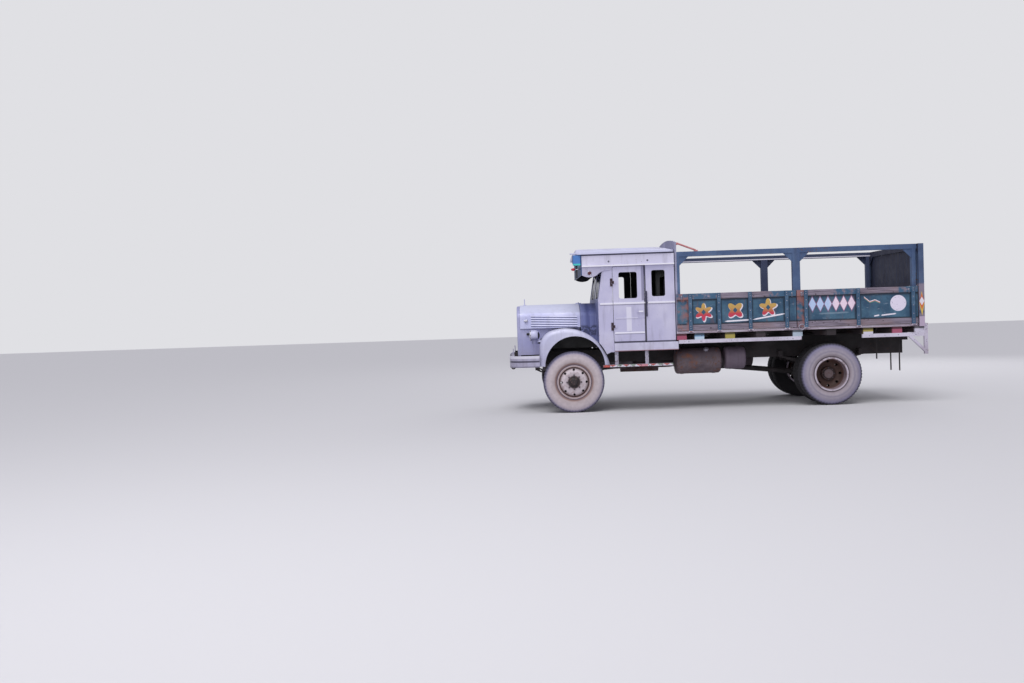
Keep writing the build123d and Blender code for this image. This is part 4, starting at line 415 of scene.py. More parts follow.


# Cowl: the bonnet's enamel gone blue, painted paler and darker along X as painted light and shade on its
# curve, with a dark band of painted shade, and a black inside painted as shade
def cowl_enamel():
    material, shader, place = enamel("cowl_blue_enamel", "6f77ab", "8188b8", gloss=0.42, metal=0.05)
    # Tones along X: painted light and shade across the cowl's curve, the darkest band a painted shade
    share = rise(spread(place)["x"], behind(0.166), behind(0.446))
    tones = add("ValToRGB", {0: share},
                stops=[(0.0, "9197c6"), (0.25, "7a82b6"), (0.40, "525a8e"), (0.48, "59619a"),
                       (0.60, "7c83b8"), (0.85, "6a70a2"), (1.0, "8084ac")])
    repaint(shader, 0.75, tones)
    streaks = blotches(place, 0.035, 0.50, 0.72, 3, (1, 1, 0.10))
    repaint(shader, streaks, "454c7e", 0.5)
    grime = times(within(place, 0.03, back=(0.166, 0.42), z=(1.27, 1.42)),
                  blotches(place, 0.05, 0.38, 0.52))
    repaint(shader, grime, "2c3050", 0.85)
    # Inside painted near-black as painted shade
    inside = times(facing(place, (1, 0, 0)), within(place, back=(0.45, 0.70)))
    repaint(shader, inside, "1a191f")
    return material


# Nose: silver enamel, its inside painted dark as painted shade
def nose_enamel():
    material, shader, place = enamel("nose_enamel", "9fa0ca", "b2b2d4", **silver)
    # Inside faces painted dark as painted shade
    inside = times(facing(place, (1, 0, 0)), within(place, back=(-0.93, -0.52)))
    repaint(shader, inside, "2a2933")
    return material


# Bumper: dented silver enamel, a painted highlight along the top, painted shade in the groove between its
# two bands and along the bottom
def bumper_enamel():
    material, shader, place = enamel("dented_bumper_enamel", "b3b0ca", "9a97ac", gloss=0.38, metal=0.2,
                                     dents=0.012)
    # Painted highlight along the top
    repaint(shader, within(place, 0.010, z=(0.925, 0.97)), "e0deec", 0.75)
    # Painted shade in the groove between the bands
    repaint(shader, within(place, 0.006, z=(0.858, 0.881)), "3f3c50", 0.85)
    # Painted shade along the bottom
    repaint(shader, within(place, 0.010, z=(0.76, 0.786)), "5a566c", 0.7)
    return material


# Cab floor, back wall and dashboard: silver where the outside shows, painted black inside as painted shade
def inner_enamel():
    material, shader, place = enamel("cab_inner_enamel", "c6c3dc", "d0cee3", gloss=0.5)
    # Inside painted near-black as painted shade
    inside = within(place, x=(behind(0.44), cab_rear_x - 0.001), out=(0.0, 1.034), z=(1.065, 2.42))
    repaint(shader, inside, "1b1a20")
    rust_line = within(place, 0.004, z=(0.996, 1.006), out=(1.08, 1.125))
    repaint(shader, rust_line, "8c545c", 0.8)
    return material


# Safety glass: blue-grey tinted, under a patchy film of dust
def windscreen_glass():
    material, shader, place = start("tinted_windscreen_glass")
    shader.inputs["Base Color"].default_value = linear("3d435c")
    shader.inputs["Transmission Weight"].default_value = 0.35
    shader.inputs["IOR"].default_value = 1.45
    varied_roughness(shader, blotches(place, 0.25, 0.35, 0.7), 0.03, 0.16)
    return material


def axle_radius(place, axle_x):
    """How far a place is from a wheel's axle."""
    centred = add("Mapping", {"Vector": place, "Location": (-axle_x, 0, -axle_z), "Scale": (1, 0, 1)})
    return add("VectorMath", (centred,), operation="LENGTH")


# Tyre rubber: black under pale road dust, in rings by the distance from the axle; the inner walls left
# black without dust as painted shade
def tyre_rubber(name, axle_x, rings, wall_out, tread):
    material, shader, place = start(name, 0.85)
    bead, crown = 0.25, 0.51
    share = rise(axle_radius(place, axle_x), bead, crown)
    tones = add("ValToRGB", {0: share},
                stops=[((radius - bead) / (crown - bead), colour) for radius, colour in rings])
    dusty = blotches(place, 0.05, 0.40, 0.75, 6)
    wall = over(times(dusty, 0.22), tones, "5f5560")
    out = spread(place)["out"]
    # Inner walls left black rubber without dust: painted shade
    colour = over(rise(out, wall_out - 0.19, wall_out - 0.14), "1f1d21", tread)
    plug(shader, "Base Color", over(rise(out, wall_out, wall_out + 0.012), colour, wall))
    bumps(shader, blotches(place, 0.008, 0.2, 0.8), 0.3, 0.001)
    return material


# Wheel enamel: brushed on over rust, bands by distance from the axle
def wheel_enamel(name, axle_x, bands, rust, rust_share):
    material, shader, place = start(name, 0.62)
    rim = 0.3
    share = rise(axle_radius(place, axle_x), 0.0, rim)
    tones = add("ValToRGB", {0: share}, stops=[(radius / rim, colour) for radius, colour in bands])
    rusted = blotches(place, 0.06, 0.52, 0.64, 6)
    colour = over(times(rusted, rust_share), tones, rust)
    plug(shader, "Base Color", colour)
    bumps(shader, rusted, 0.25, 0.001)
    return material


# Gates: weathered planks above and below a painted panel, painted stiffeners, rust streaks, painted shade
# along the panel's edges and beside the stiffeners
def faded_teal(place):
    return over(blotches(place, 0.30, 0.40, 0.66), "2b4c68", "4a7088")


def rust_streaks(place, under):
    return over(times(blotches(place, 0.05, 0.58, 0.76, 4, (1, 1, 0.10)), 0.55), under, "744c48")


def panel_edge_shade(place, upper_soft):
    """1 along the painted panel's upper and lower edges, where painted shade goes."""
    return add("Math", (within(place, upper_soft, z=(1.785, 1.82)), within(place, 0.02, z=(1.38, 1.405))),
               operation="MAXIMUM")


def gate_boards(name, teal_top, bare_bay, stiffeners=(), motifs=None):
    """The painted ranges of the top plank, the rust-stained bay and the stiffeners, all behind the axle."""
    material, shader, place = start(name, 0.66)
    wood, grain = plank_colour(place)
    teal = over(times(blotches(place, 0.10, 0.60, 0.72), 0.5), faded_teal(place), "20324a")
    teal = rust_streaks(place, teal)
    scuffs = blotches(place, 0.03, 0.64, 0.70, 6, (0.3, 1, 1))
    teal = over(times(scuffs, 0.5), teal, "93a0b2")
    # Painted shade along the panel's edges and beside each stiffener
    edge_and_stiffener_shade = panel_edge_shade(place, 0.022)
    for x in stiffeners:
        edge_and_stiffener_shade = add("Math", (edge_and_stiffener_shade, within(place, 0.020, back=(x - 0.042, x + 0.042))), operation="MAXIMUM")
    teal = over(times(edge_and_stiffener_shade, 0.72), teal, "121a2c")
    panel = motifs(place, teal) if motifs else teal
    top_wood = wood
    for low, high in teal_top:
        ragged = times(within(place, 0.03, back=(low, high)), blotches(place, 0.08, 0.35, 0.50))
        top_wood = over(ragged, top_wood, "3f6280")
    colour = over(within(place, z=(panel_top_z, 2.0)), panel, top_wood)
    colour = over(within(place, z=(1.2, panel_low_z)), colour, wood)
    for level in (panel_low_z, panel_top_z):
        groove = within(place, 0.004, z=(level - 0.006, level + 0.004))
        colour = over(times(groove, 0.8), colour, "1a202c")
    stained = times(within(place, 0.05, back=bare_bay), blotches(place, 0.10, 0.42, 0.58))
    colour = over(times(stained, 0.75), colour, "9a6560")
    proud = within(place, out=(gate_outer_y - 0.022, gate_outer_y + 0.01))
    colour = over(proud, colour, over(blotches(place, 0.12, 0.45, 0.7), "385673", "55738e"))
    plug(shader, "Base Color", over(within(place, out=(0.0, 1.101)), colour, wood))
    bumps(shader, grain, 0.45, 0.003)
    return material


# Tailgate: the side gates' teal on a middle panel that faces rearwards, bare planks elsewhere
def tailgate_boards():
    material, shader, place = start("tailgate_boards", 0.66)
    wood, grain = plank_colour(place, run=1)
    teal = rust_streaks(place, faded_teal(place))
    # Painted shade along the panel's edges
    teal = over(times(panel_edge_shade(place, 0.02), 0.72), teal, "121a2c")
    panel = times(within(place, z=(panel_low_z, panel_top_z)), facing(place, (-1, 0, 0), 0.5, 0.3))
    plug(shader, "Base Color", over(panel, wood, teal))
    bumps(shader, grain, 0.45, 0.003)
    return material


def brush_strokes(place, colour, strokes, half, tone):
    """Strokes on the panel's face, each with its start (X behind the front axle, Z), run and climb."""
    for x, z, run, climb in strokes:
        mask = stroke(place, behind(x), z, run, climb, half)
        colour = over(times(mask, within(place, out=panel_face_out)), colour, tone)
    return colour


def front_motifs(place, under):
    """Three yellow-to-red flowers edged in white, and two white brush strokes."""
    panel_face = within(place, out=panel_face_out)
    height = spread(place)["z"]
    sunset = add("ValToRGB", {0: rise(height, 1.48, 1.79)}, stops=[
        (0.0, "c63a5c"), (0.25, "c23e4e"), (0.36, "b9704a"), (0.55, "c39a58"), (1.0, "cbac5a")])
    colour = under
    for x, z, petals, turn in ((2.155, 1.595, 6, math.pi), (2.672, 1.612, 4, math.pi),
                               (3.211, 1.640, 5, -math.pi / 2)):
        rim = flower(place, behind(x) + 0.010, z - 0.012, 0.156, petals, 0.24, turn)
        petal = flower(place, behind(x), z, 0.146, petals, 0.24, turn)
        heart = lozenge(place, behind(x), z, 0.038, 0.046)
        for mask, tone in ((rim, "e4dbe6"), (petal, sunset), (heart, "2f5670")):
            colour = over(times(mask, panel_face), colour, tone)
    swishes = ((2.49, 1.432, 0.44, 0.014), (2.945, 1.445, 0.555, 0.085))
    return brush_strokes(place, colour, swishes, 0.013, "ece7f2")


def rear_motifs(place, under):
    """A row of pale diamonds over a faint stroke, a zigzag, a pale disc and two white strokes."""
    panel_face = within(place, out=panel_face_out)
    values = spread(place)
    pitch, first, level, half_height, half_share = 0.1275, 3.870, 1.665, 0.115, 0.46
    row = add("Math", (values["x"], 1 / pitch, -behind(first) / pitch), operation="MULTIPLY_ADD")
    share = gap(add("Math", (row,), operation="FRACT"), 0.5)
    upward = times(gap(values["z"], level), 1 / half_height)
    from_middle = add("Math", (share, 1 / half_share, upward), operation="MULTIPLY_ADD")
    diamonds = times(rise(from_middle, 1.04, 0.98), within(place, back=(first, 4.635)))
    pale = over(rise(values["x"], behind(4.20), behind(4.30)), "b9cdf0", "efd9ea")
    rims = times(rise(from_middle, 1.26, 1.20), within(place, back=(first - 0.005, 4.640)))
    colour = over(times(times(rims, panel_face), 0.8), under, "8d5f80")
    colour = over(times(diamonds, panel_face), colour, pale)
    faint = stroke(place, behind(4.02), 1.505, 0.52, 0.012, 0.014)
    colour = over(times(times(faint, panel_face), 0.45), colour, "8fa3b4")
    disc = flower(place, behind(5.330), 1.640, 0.130, 1, 0.0)
    flaked = over(blotches(place, 0.03, 0.60, 0.70, 6), "e6def0", "a9a3b8")
    colour = over(times(disc, panel_face), colour, flaked)
    zigzag = ((4.77, 1.760, 0.10, -0.085), (4.86, 1.675, 0.10, 0.030), (4.95, 1.705, 0.09, -0.045))
    for drop, tone in ((-0.016, "5fa588"), (-0.007, "c8565e"), (0.003, "e6e0ea")):
        lower = [(x, z + drop, run, climb) for x, z, run, climb in zigzag]
        colour = brush_strokes(place, colour, lower, 0.008, tone)
    swishes = ((4.93, 1.438, 0.09, 0.014), (5.04, 1.447, 0.26, 0.022))
    return brush_strokes(place, colour, swishes, 0.012, "e9e3f0")


# Rear portal: faded blue steel, its forward-facing faces painted dark as painted shade, a yellow and red
# drop painted on each corner post
def portal_enamel():
    material, shader, place = enamel("portal_blue_enamel", "3f4f70", "566a8c", **frame_blue)
    # Faces that look forward painted dark: painted shade
    repaint(shader, facing(place, (-1, 0, 0)), "26273a", 0.9)
    post = within(place, out=(1.160, 1.17))
    lower = times(within(place, 0.03, out=(1.07, 1.17), z=(1.25, 1.93)), blotches(place, 0.12, 0.34, 0.5))
    repaint(shader, lower, "8d8090", 0.85)
    middle_x = post_rear_x - 0.0435
    for z, half_z, tone in ((1.62, 0.20, "d8b84e"), (1.65, 0.14, "d0663f"), (1.66, 0.07, "e6dfe8")):
        drop = lozenge(place, middle_x, z, 0.040, half_z)
        repaint(shader, times(drop, post), tone)
    repaint(shader, times(post, within(place, z=(1.25, 1.41))), "b7a6bd")
    return material


# Top frame: faded blue steel, the far rail painted darker as painted shade, with a white line along the far
# rail's inside
def rail_frame_enamel():
    material, shader, place = enamel("body_frame_enamel", "43587e", "5a7194", **frame_blue)
    # The far rail painted darker: painted shade
    repaint(shader, within(place, y=(0.9, 1.2)), "33314a", 0.65)
    line = within(place, y=(0.99, 1.03), z=(2.528, 2.546))
    repaint(shader, line, "e2e0ee")
    rusty = times(within(place, 0.03, back=(3.62, 3.77), z=(1.29, 1.60)), blotches(place, 0.10, 0.42, 0.58))
    repaint(shader, rusty, "84554a", 0.7)
    return material


# Rails: off-white enamel over wood and steel, the floor's edge duller and pink with brick dust
def rail_enamel():
    material, shader, place = enamel("rail_white_enamel", "d3cedf", "bdb4c6", grime="6e6672", gloss=0.5,
                                     chips=0.61, dust_top=1.0)
    edge = within(place, z=(1.25, 1.2905), back=(1.7, 5.66))
    repaint(shader, edge, over(blotches(place, 0.2, 0.4, 0.6, 4, (0.3, 1, 1)), "a58e9c", "d6cbda"), 0.7)
    return material


# Bearers: dark sawn hardwood, ends painted in turn red, sky blue, yellow and white
def bearer_paint():
    material, shader, place = planks("painted_bearer_ends", "5d5258", "2f282b", "5a4238")
    first, last, before_end = 1.6, 5.9, 0.15
    run = rise(spread(place)["x"], behind(first), behind(last))
    ends = ((1.712, "a05068"), (2.077, "6d92b4"), (2.579, "a69850"), (3.081, "3a3036"), (3.683, "aebccb"),
            (4.230, "2c2529"), (4.831, "a69850"), (5.303, "a85a72"), (5.660, "d3cedf"))
    tones = add("ValToRGB", {0: run}, stops=[
        (max(x - first - before_end, 0.0) / (last - first), tone) for x, tone in ends])
    tones.color_ramp.interpolation = "CONSTANT"
    worn = times(within(place, out=(1.095, 1.14)), blotches(place, 0.05, 0.28, 0.38))
    repaint(shader, worn, tones)
    low_half = within(place, 0.004, out=(1.1285, 1.14), z=(1.15, 1.196), back=(1.95, 2.20))
    repaint(shader, low_half, "bccfe0")
    white_foot = within(place, 0.004, out=(1.1285, 1.14), z=(1.15, 1.185), back=(4.75, 4.92))
    repaint(shader, white_foot, "d3cedf")
    shadow = within(place, 0.012, z=(1.222, 1.26))
    repaint(shader, shadow, "1d181b", 0.8)
    return material


# Step: enamelled steel, the bar hand-painted with red and green triangles on white
def step_enamel():
    material, shader, place = enamel("step_enamel", "a5a3b8", "b9b7ca", gloss=0.5)
    values = spread(place)
    run = times(values["x"], 9.0)
    saw = add("Math", (run,), operation="FRACT")
    centred = add("Math", (saw, 2.0, -1.0), operation="MULTIPLY_ADD")
    ridge = add("Math", (centred,), operation="ABSOLUTE")
    level = rise(values["z"], 0.744, 0.774)
    inside = rise(add("Math", (ridge, level), operation="SUBTRACT"), 0.03, -0.03)
    half_run = add("Math", (times(run, 0.5),), operation="FRACT")
    second = add("Math", (half_run, 0.5), operation="GREATER_THAN")
    face = within(place, z=(0.739, 0.777), out=(1.1185, 1.13))
    repaint(shader, face, over(inside, "d5d0de", over(second, "b8605c", "8a9a8c")))
    repaint(shader, times(face, within(place, back=(0.4, 0.60))), "c8544c")
    repaint(shader, times(face, within(place, back=(1.08, 1.22))), "c98a96")
    chipped = times(blotches(place, 0.03, 0.52, 0.60, 6), 0.75)
    repaint(shader, chipped, "5a4c4c")
    return material


# Tanks: brown-black enamel with rust and a paler, lilac second tank
def tank_enamel():
    material, shader, place = enamel("rusty_tank_enamel", "4a3f47", "5e5058", grime="2c2528", rust="5e4030",
                                     gloss=0.6, chips=0.56, dust="776b72", dust_top=0.85)
    patches = times(within(place, back=(1.7, 2.52)), blotches(place, 0.16, 0.55, 0.66))
    repaint(shader, patches, "7a4a34", 0.8)
    repaint(shader, within(place, back=(2.52, 2.95), y=(-1.0, 0.0)), "6d6070", 0.75)
    return material


# Lamp glass: clear or coloured, ribbed
def lens_glass(name, tone, through):
    material, shader, place = start(name, 0.12)
    shader.inputs["Base Color"].default_value = linear(tone)
    shader.inputs["Transmission Weight"].default_value = through
    ribs = add("TexWave", {"Vector": place, "Scale": 40.0, "Distortion": 0.0}, bands_direction="Y")
    bumps(shader, ribs.outputs[1], 0.3, 0.001)
    return material


# Chrome: plated steel with pitting
def plated_chrome():
    material, shader, place = start("pitted_chrome", 0.22)
    plug(shader, "Base Color", over(blotches(place, 0.01, 0.60, 0.64, 6), "c9c8d4", "6f6264"))
    shader.inputs["Metallic"].default_value = 0.9
    return material


# Seat vinyl: dark oxblood, grained, worn pale in spots
def seat_vinyl():
    material, shader, place = start("seat_vinyl", 0.5)
    colour = over(blotches(place, 0.25, 0.42, 0.66), "3a2626", "4d3431")
    plug(shader, "Base Color", over(times(blotches(place, 0.02, 0.62, 0.68, 6), 0.6), colour, "8a7468"))
    bumps(shader, blotches(place, 0.003, 0.3, 0.7, 2), 0.35, 0.0006)
    return material


# Plain moulded plastic or rubber, worn smooth in places
def worn_black(name, tone, low, high):
    material, shader, place = start(name)
    plug(shader, "Base Color", over(blotches(place, 0.04, 0.5, 0.62), tone, "3a383a"))
    varied_roughness(shader, blotches(place, 0.05, 0.3, 0.7), low, high)
    return material


chassis_black = enamel("dusty_chassis_black", "1d1a1c", "2b2629", grime="393234", rust="3f2c25", gloss=0.7,
                       chips=0.58, dust="463e42", dust_top=1.0)[0]
front_rubber = tyre_rubber("front_tyre_rubber", front_axle_x, (
    (0.255, "5f4f52"), (0.285, "77625f"), (0.308, "8a6f6a"), (0.332, "b3a5a8"), (0.40, "c2b6bb"),
    (0.452, "b5a9b2"), (0.472, "958ea2"), (0.494, "5f5c74"), (0.51, "4a4652")), 1.062, "55526a")
# The rear tread darker than the front's: painted shade under the body
rear_rubber = tyre_rubber("rear_tyre_rubber", rear_axle_x, (
    (0.255, "4a4046"), (0.285, "6d6068"), (0.31, "988d96"), (0.345, "a79ea8"), (0.372, "8f8898"),
    (0.395, "9f97a4"), (0.43, "918a9c"), (0.46, "85809a"), (0.487, "5e5b78"), (0.51, "3c3a4c")),
    1.102, "2b292f")
front_wheel_paint = wheel_enamel("front_wheel_enamel", front_axle_x, (
    (0.0, "2a2226"), (0.092, "241d20"), (0.102, "6b5d62"), (0.114, "b9adb4"), (0.19, "cabfc6"),
    (0.225, "a99a9e"), (0.248, "7d6462"), (0.262, "a8979a"), (0.28, "c0b2b8")), "84655f", 0.35)
rear_wheel_paint = wheel_enamel("rear_wheel_enamel", rear_axle_x, (
    (0.0, "6e5f62"), (0.070, "66575a"), (0.080, "2c2222"), (0.118, "46332f"), (0.15, "4e352e"),
    (0.22, "45302a"), (0.243, "5e4440"), (0.258, "b9aebb"), (0.28, "c6bdcb")), "553529", 0.55)
seat_cover = seat_vinyl()
chrome = plated_chrome()
clear_lens = lens_glass("clear_lamp_glass", "dcdcea", 0.5)
red_lens = lens_glass("red_lamp_glass", "c02338", 0.2)
dark_red_lens = lens_glass("dark_red_lamp_glass", "5a2430", 0.1)
rubber_black = worn_black("black_rubber", "171517", 0.6, 0.8)
wheel_black = worn_black("steering_wheel_plastic", "1d1b1d", 0.3, 0.55)
hub_iron = enamel("oily_hub_iron", "3a3034", "4d4247", grime="1d1a1a", gloss=0.5, chips=0.6)[0]
bare_steel = enamel("galvanised_steel", "9a98a8", "b1afbd", grime="5a5866", gloss=0.45, metal=0.4)[0]

node_paints = {
    bonnet_enamel(): ("bonnet",),
    fender_enamel("fender_left_enamel", -0.80): ("fender_left",),
    fender_enamel("fender_right_enamel", 0.80): ("fender_right",),
    nose_enamel(): ("grille_shell",),
    # Grille bars: the nose's enamel in shade
    enamel("grille_bar_enamel", "4c4966", "67647f", gloss=0.45)[0]: ("grille_bars",),
    inner_enamel(): ("cab_back", "cab_floor", "dashboard"),
    cab_side_enamel(): ("cab_side_left", "cab_side_right", "door_left", "door_right"),
    roof_enamel(): ("cab_roof",),
    visor_enamel(): ("roof_visor",),
    cowl_enamel(): ("cab_front",),
    bumper_enamel(): ("front_bumper",),
    rail_frame_enamel(): ("top_frame",),
    portal_enamel(): ("rear_portal",),
    rail_enamel(): ("side_rails",),
    # Running gear: black enamel under road dust
    chassis_black: ("ladder_frame", "cross_members", "spring_hangers", "leaf_springs", "front_axle_beam",
                    "rear_axle_housing", "propeller_shaft", "knuckle_left", "knuckle_right", "tie_rod",
                    "hanging_straps", "body_runners"),
    # Engine and radiator: cast iron, black with oil
    enamel("oily_cast_iron", "2b292b", "3d3a3c", grime="1d1a1a", gloss=0.55, chips=0.6)[0]:
        ("engine", "radiator"),
    # Exhaust: bare steel, rusted through its black
    enamel("rusty_exhaust_steel", "4a3630", "3a2a27", grime="2a2021", rust="6a4030", gloss=0.75,
           chips=0.5)[0]:
        ("exhaust",),
    tank_enamel(): ("tanks",),
    # Brace rod: red enamel, faded
    enamel("red_rod_enamel", "b96a6c", "c99a9c", gloss=0.45)[0]: ("brace_rod",),
    # Headboard: grey-blue enamel, faded
    enamel("headboard_enamel", "85859f", "a9a7c2", grime="5d5a70", gloss=0.5)[0]: ("headboard",),
    # Cargo floor: planks reddened by brick dust
    planks("brick_dusted_floor", "8f7f80", "4a4043", "8d5f50")[0]: ("cargo_floor",),
    bearer_paint(): ("cargo_bearers",),
    step_enamel(): ("cab_steps",),
    windscreen_glass(): ("windscreen",),
    wheel_black: ("steering_wheel",),
    seat_cover: ("seat_bench",),
    chrome: ("lamps",),
    front_wheel_paint: ("front_wheel_left", "front_wheel_right"),
    rear_wheel_paint: ("rear_wheels_left", "rear_wheels_right"),
    front_rubber: ("front_tyre_left", "front_tyre_right"),
    rear_rubber: ("rear_tyres_left", "rear_tyres_right"),
    gate_boards("front_gate_boards", ((1.72, 2.40), (3.25, 3.67)), (1.72, 1.93), front_stiffeners,
                front_motifs): ("side_gate_front_left", "side_gate_front_right"),
    gate_boards("rear_gate_boards", ((4.30, 4.68), (5.35, 5.70)), (3.60, 3.80), rear_stiffeners,
                rear_motifs): ("side_gate_rear_left", "side_gate_rear_right"),
    tailgate_boards(): ("tailgate",),
}
for coat, nodes in node_paints.items():
    for name in nodes:
        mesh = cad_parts[name].data
        mesh.materials.clear()
        mesh.materials.append(coat)


# Mesh building
def quads(rows, columns, round_rows=False, round_columns=False):
    """Faces of a grid of points, joined up where it goes round."""
    row, column = np.meshgrid(np.arange(rows - (not round_rows)), np.arange(columns - (not round_columns)),
                              indexing="ij")
    next_row, next_column = (row + 1) % rows, (column + 1) % columns
    corners = (row * columns + column, row * columns + next_column, next_row * columns + next_column,
               next_row * columns + column)
    return np.stack(corners, -1).reshape(-1, 4)


def piece(name, shapes, body, coat, smooth=True):
    """One object from one or more (points, faces) shapes, faces turned outwards, riding on a body."""
    points, faces, count = [], [], 0
    for shape_points, shape_faces in shapes:
        flat = np.asarray(shape_points, float).reshape(-1, 3)
        points.append(flat)
        faces.extend((np.asarray(shape_faces) + count).tolist())
        count += len(flat)
    mesh = bpy.data.meshes.new(name)
    mesh.from_pydata(np.concatenate(points).tolist(), [], faces)
    shell = bmesh.new()
    shell.from_mesh(mesh)
    bmesh.ops.remove_doubles(shell, verts=shell.verts, dist=1e-6)
    bmesh.ops.recalc_face_normals(shell, faces=shell.faces)
    shell.to_mesh(mesh)
    shell.free()
    mesh.polygons.foreach_set("use_smooth", [smooth] * len(mesh.polygons))
    mesh.materials.append(coat)
    made = put_in_scene(name, mesh)
    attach(made, body)
    return made


def lathe(origin, direction, profile, steps=32):
    """Each (along, radius) pair goes round the line through the origin: the point at a turn is
    origin + along * axis + radius * (cos turn * side + sin turn * up)."""
    axis = np.array(Vector(direction).normalized())
    side = np.array(Vector(direction).orthogonal().normalized())
    up = np.cross(axis, side)
    along, radius = np.array(profile, float).T
    turn = np.linspace(0, 2 * np.pi, steps, endpoint=False)[:, None, None]
    spokes = np.cos(turn) * side + np.sin(turn) * up
    points = np.array(origin) + along[None, :, None] * axis + radius[None, :, None] * spokes
    return points, quads(steps, len(profile), round_rows=True)


def rod(first, second, radius, steps=12):
    """A straight bar between two points with flat ends."""
    run = Vector(second) - Vector(first)
    return lathe(first, run, ((0, 0), (0, radius), (run.length, radius), (run.length, 0)), steps)


def dome(foot, depth, radius, corners):
    """Pairs from the foot up: the radius falls as a quarter circle while the dome rises by its depth."""
    arc = np.linspace(0, np.pi / 2, corners)
    return zip(foot + depth * np.sin(arc), radius * np.cos(arc) + 1e-5)


def bolt(place, direction, radius, height, steps=8):
    """A domed head on a shank."""
    profile = [(-0.003, 0), (-0.003, radius), *dome(0, height, radius, 4), (height, 0)]
    return lathe(place, direction, profile, steps)


def pillow(low, high, power, channels=0, depth=0.0, rows=48, columns=72):
    """A rounded box: each half size times sign(c) * |c| ** power of the turns' cosines and sines.
    Sewn channels across Y pull the surface in by depth at the seams."""
    low, high = np.array(low), np.array(high)
    half, centre = (high - low) / 2, (high + low) / 2
    lift = np.linspace(-np.pi / 2, np.pi / 2, rows)[:, None]
    turn = np.linspace(0, 2 * np.pi, columns, endpoint=False)[None, :]

    def swell(value):
        return np.sign(value) * np.abs(value) ** power

    waist = swell(np.cos(lift))
    waist[[0, -1]] = 0
    y = swell(np.sin(lift)) * np.ones_like(turn)
    x = waist * swell(np.cos(turn))
    z = waist * swell(np.sin(turn))
    pull = 1 - depth * np.abs(np.cos(np.pi * channels * (y + 1) / 2)) ** 12 if channels else 1
    points = centre + np.stack([x * half[0], y * half[1], z * half[2] * pull], -1)
    return points, quads(rows, columns, round_columns=True)


def knob(side, x, out, z, power=0.3):
    """A small rounded box on one side of the lorry, from its ranges of x, out and z."""
    near, far = sorted(side * reach for reach in out)
    return pillow((x[0], near, z[0]), (x[1], far, z[1]), power, rows=16, columns=24)


def lens(place, direction, back, foot, depth, radius, back_radius=None, steps=32):
    """A turned lens with a flat back and a domed front."""
    profile = [(back, 0), (back, back_radius or radius), *dome(foot, depth, radius, 7), (foot + depth, 0)]
    return lathe(place, direction, profile, steps)


# Tyres: a profile of (out, radius) carried round the axle, cut by zigzag ribs and shoulder lugs
def tyre_shape(axle_x, middle_y, side):
    """Radius falls by the groove depth where the place across the tread is near a zigzag line,
    or beyond the ribs where the turn round the tyre falls in the gap of a lug. The casing's
    inside closes the section between the beads."""
    tread_half, bulge, widest = 0.100, 0.025, 0.62
    crown_drop, shoulder_drop, wall_height, ring_height = 0.007, 0.009, 0.219, 0.0016
    zigzags, groove_depth, lugs, lug_depth = 45, 0.011, 60, 0.010
    tread = np.linspace(-tread_half, tread_half, 51)
    crown = tyre_radius - crown_drop * (tread / 0.096) ** 2
    drop = np.linspace(0, 1, 13)[1:]
    swelling = np.sin(np.pi * np.clip(drop / widest, 0, 1) / 2)
    falling = 1 - ((np.maximum(drop, widest) - widest) / (1 - widest)) ** 1.6
    wall_out = tread_half + bulge * np.where(drop > widest, falling, swelling)
    wall_radius = tyre_radius - shoulder_drop - drop * wall_height
    rings = ring_height * ((np.abs(wall_radius - 0.325) < 0.012) | (np.abs(wall_radius - 0.462) < 0.010))
    bead_out = np.array([0.100, 0.078, 0.088])
    bead_radius = np.array([0.2576, 0.2576, 0.462])
    out = np.concatenate([-bead_out[::-1], -(wall_out + rings)[::-1], tread, wall_out + rings, bead_out])
    radius = np.concatenate([bead_radius[::-1], wall_radius[::-1], crown, wall_radius, bead_radius])
    steps = 360
    turn = np.linspace(0, 2 * np.pi, steps, endpoint=False)
    wave = 0.004 * np.sign(np.sin(turn * zigzags))[:, None]
    across = out[None, :]
    outside = (radius > 0.47)[None, :]
    near = np.min([np.abs(across - line - wave) for line in (-0.052, 0.0, 0.052)], axis=0)
    rib_cut = (near < 0.0052) & (np.abs(across) < 0.099) & outside
    lug_cut = (np.abs(across) > 0.066) & (np.abs(across) < 0.112) & outside
    lug_cut = lug_cut & (np.sin(turn * lugs)[:, None] > 0.45)
    depth = np.where(rib_cut, groove_depth, 0.0) + np.where(lug_cut & ~rib_cut, lug_depth, 0.0)
    reach = radius[None, :] - depth
    points = np.stack([axle_x + reach * np.cos(turn)[:, None], side * (middle_y + across) + 0 * reach,
                       axle_z + reach * np.sin(turn)[:, None]], -1)
    return points, quads(steps, len(out), round_rows=True, round_columns=True)


def nut_ring(axle_x, side, out, ring_radius, radius, height, count=8):
    """Hexagonal nuts with a stud, evenly round the hub."""
    shapes = []
    for turn in np.linspace(0, 2 * np.pi, count, endpoint=False):
        place = (axle_x + ring_radius * math.cos(turn), side * out, axle_z + ring_radius * math.sin(turn))
        stud, tip = radius * 0.5, height * 1.6
        profile = ((-0.004, 0), (-0.004, radius), (height, radius), (height, stud), (tip, stud), (tip, 0))
        shapes.append(lathe(place, (0, side, 0), profile, 6))
    return shapes


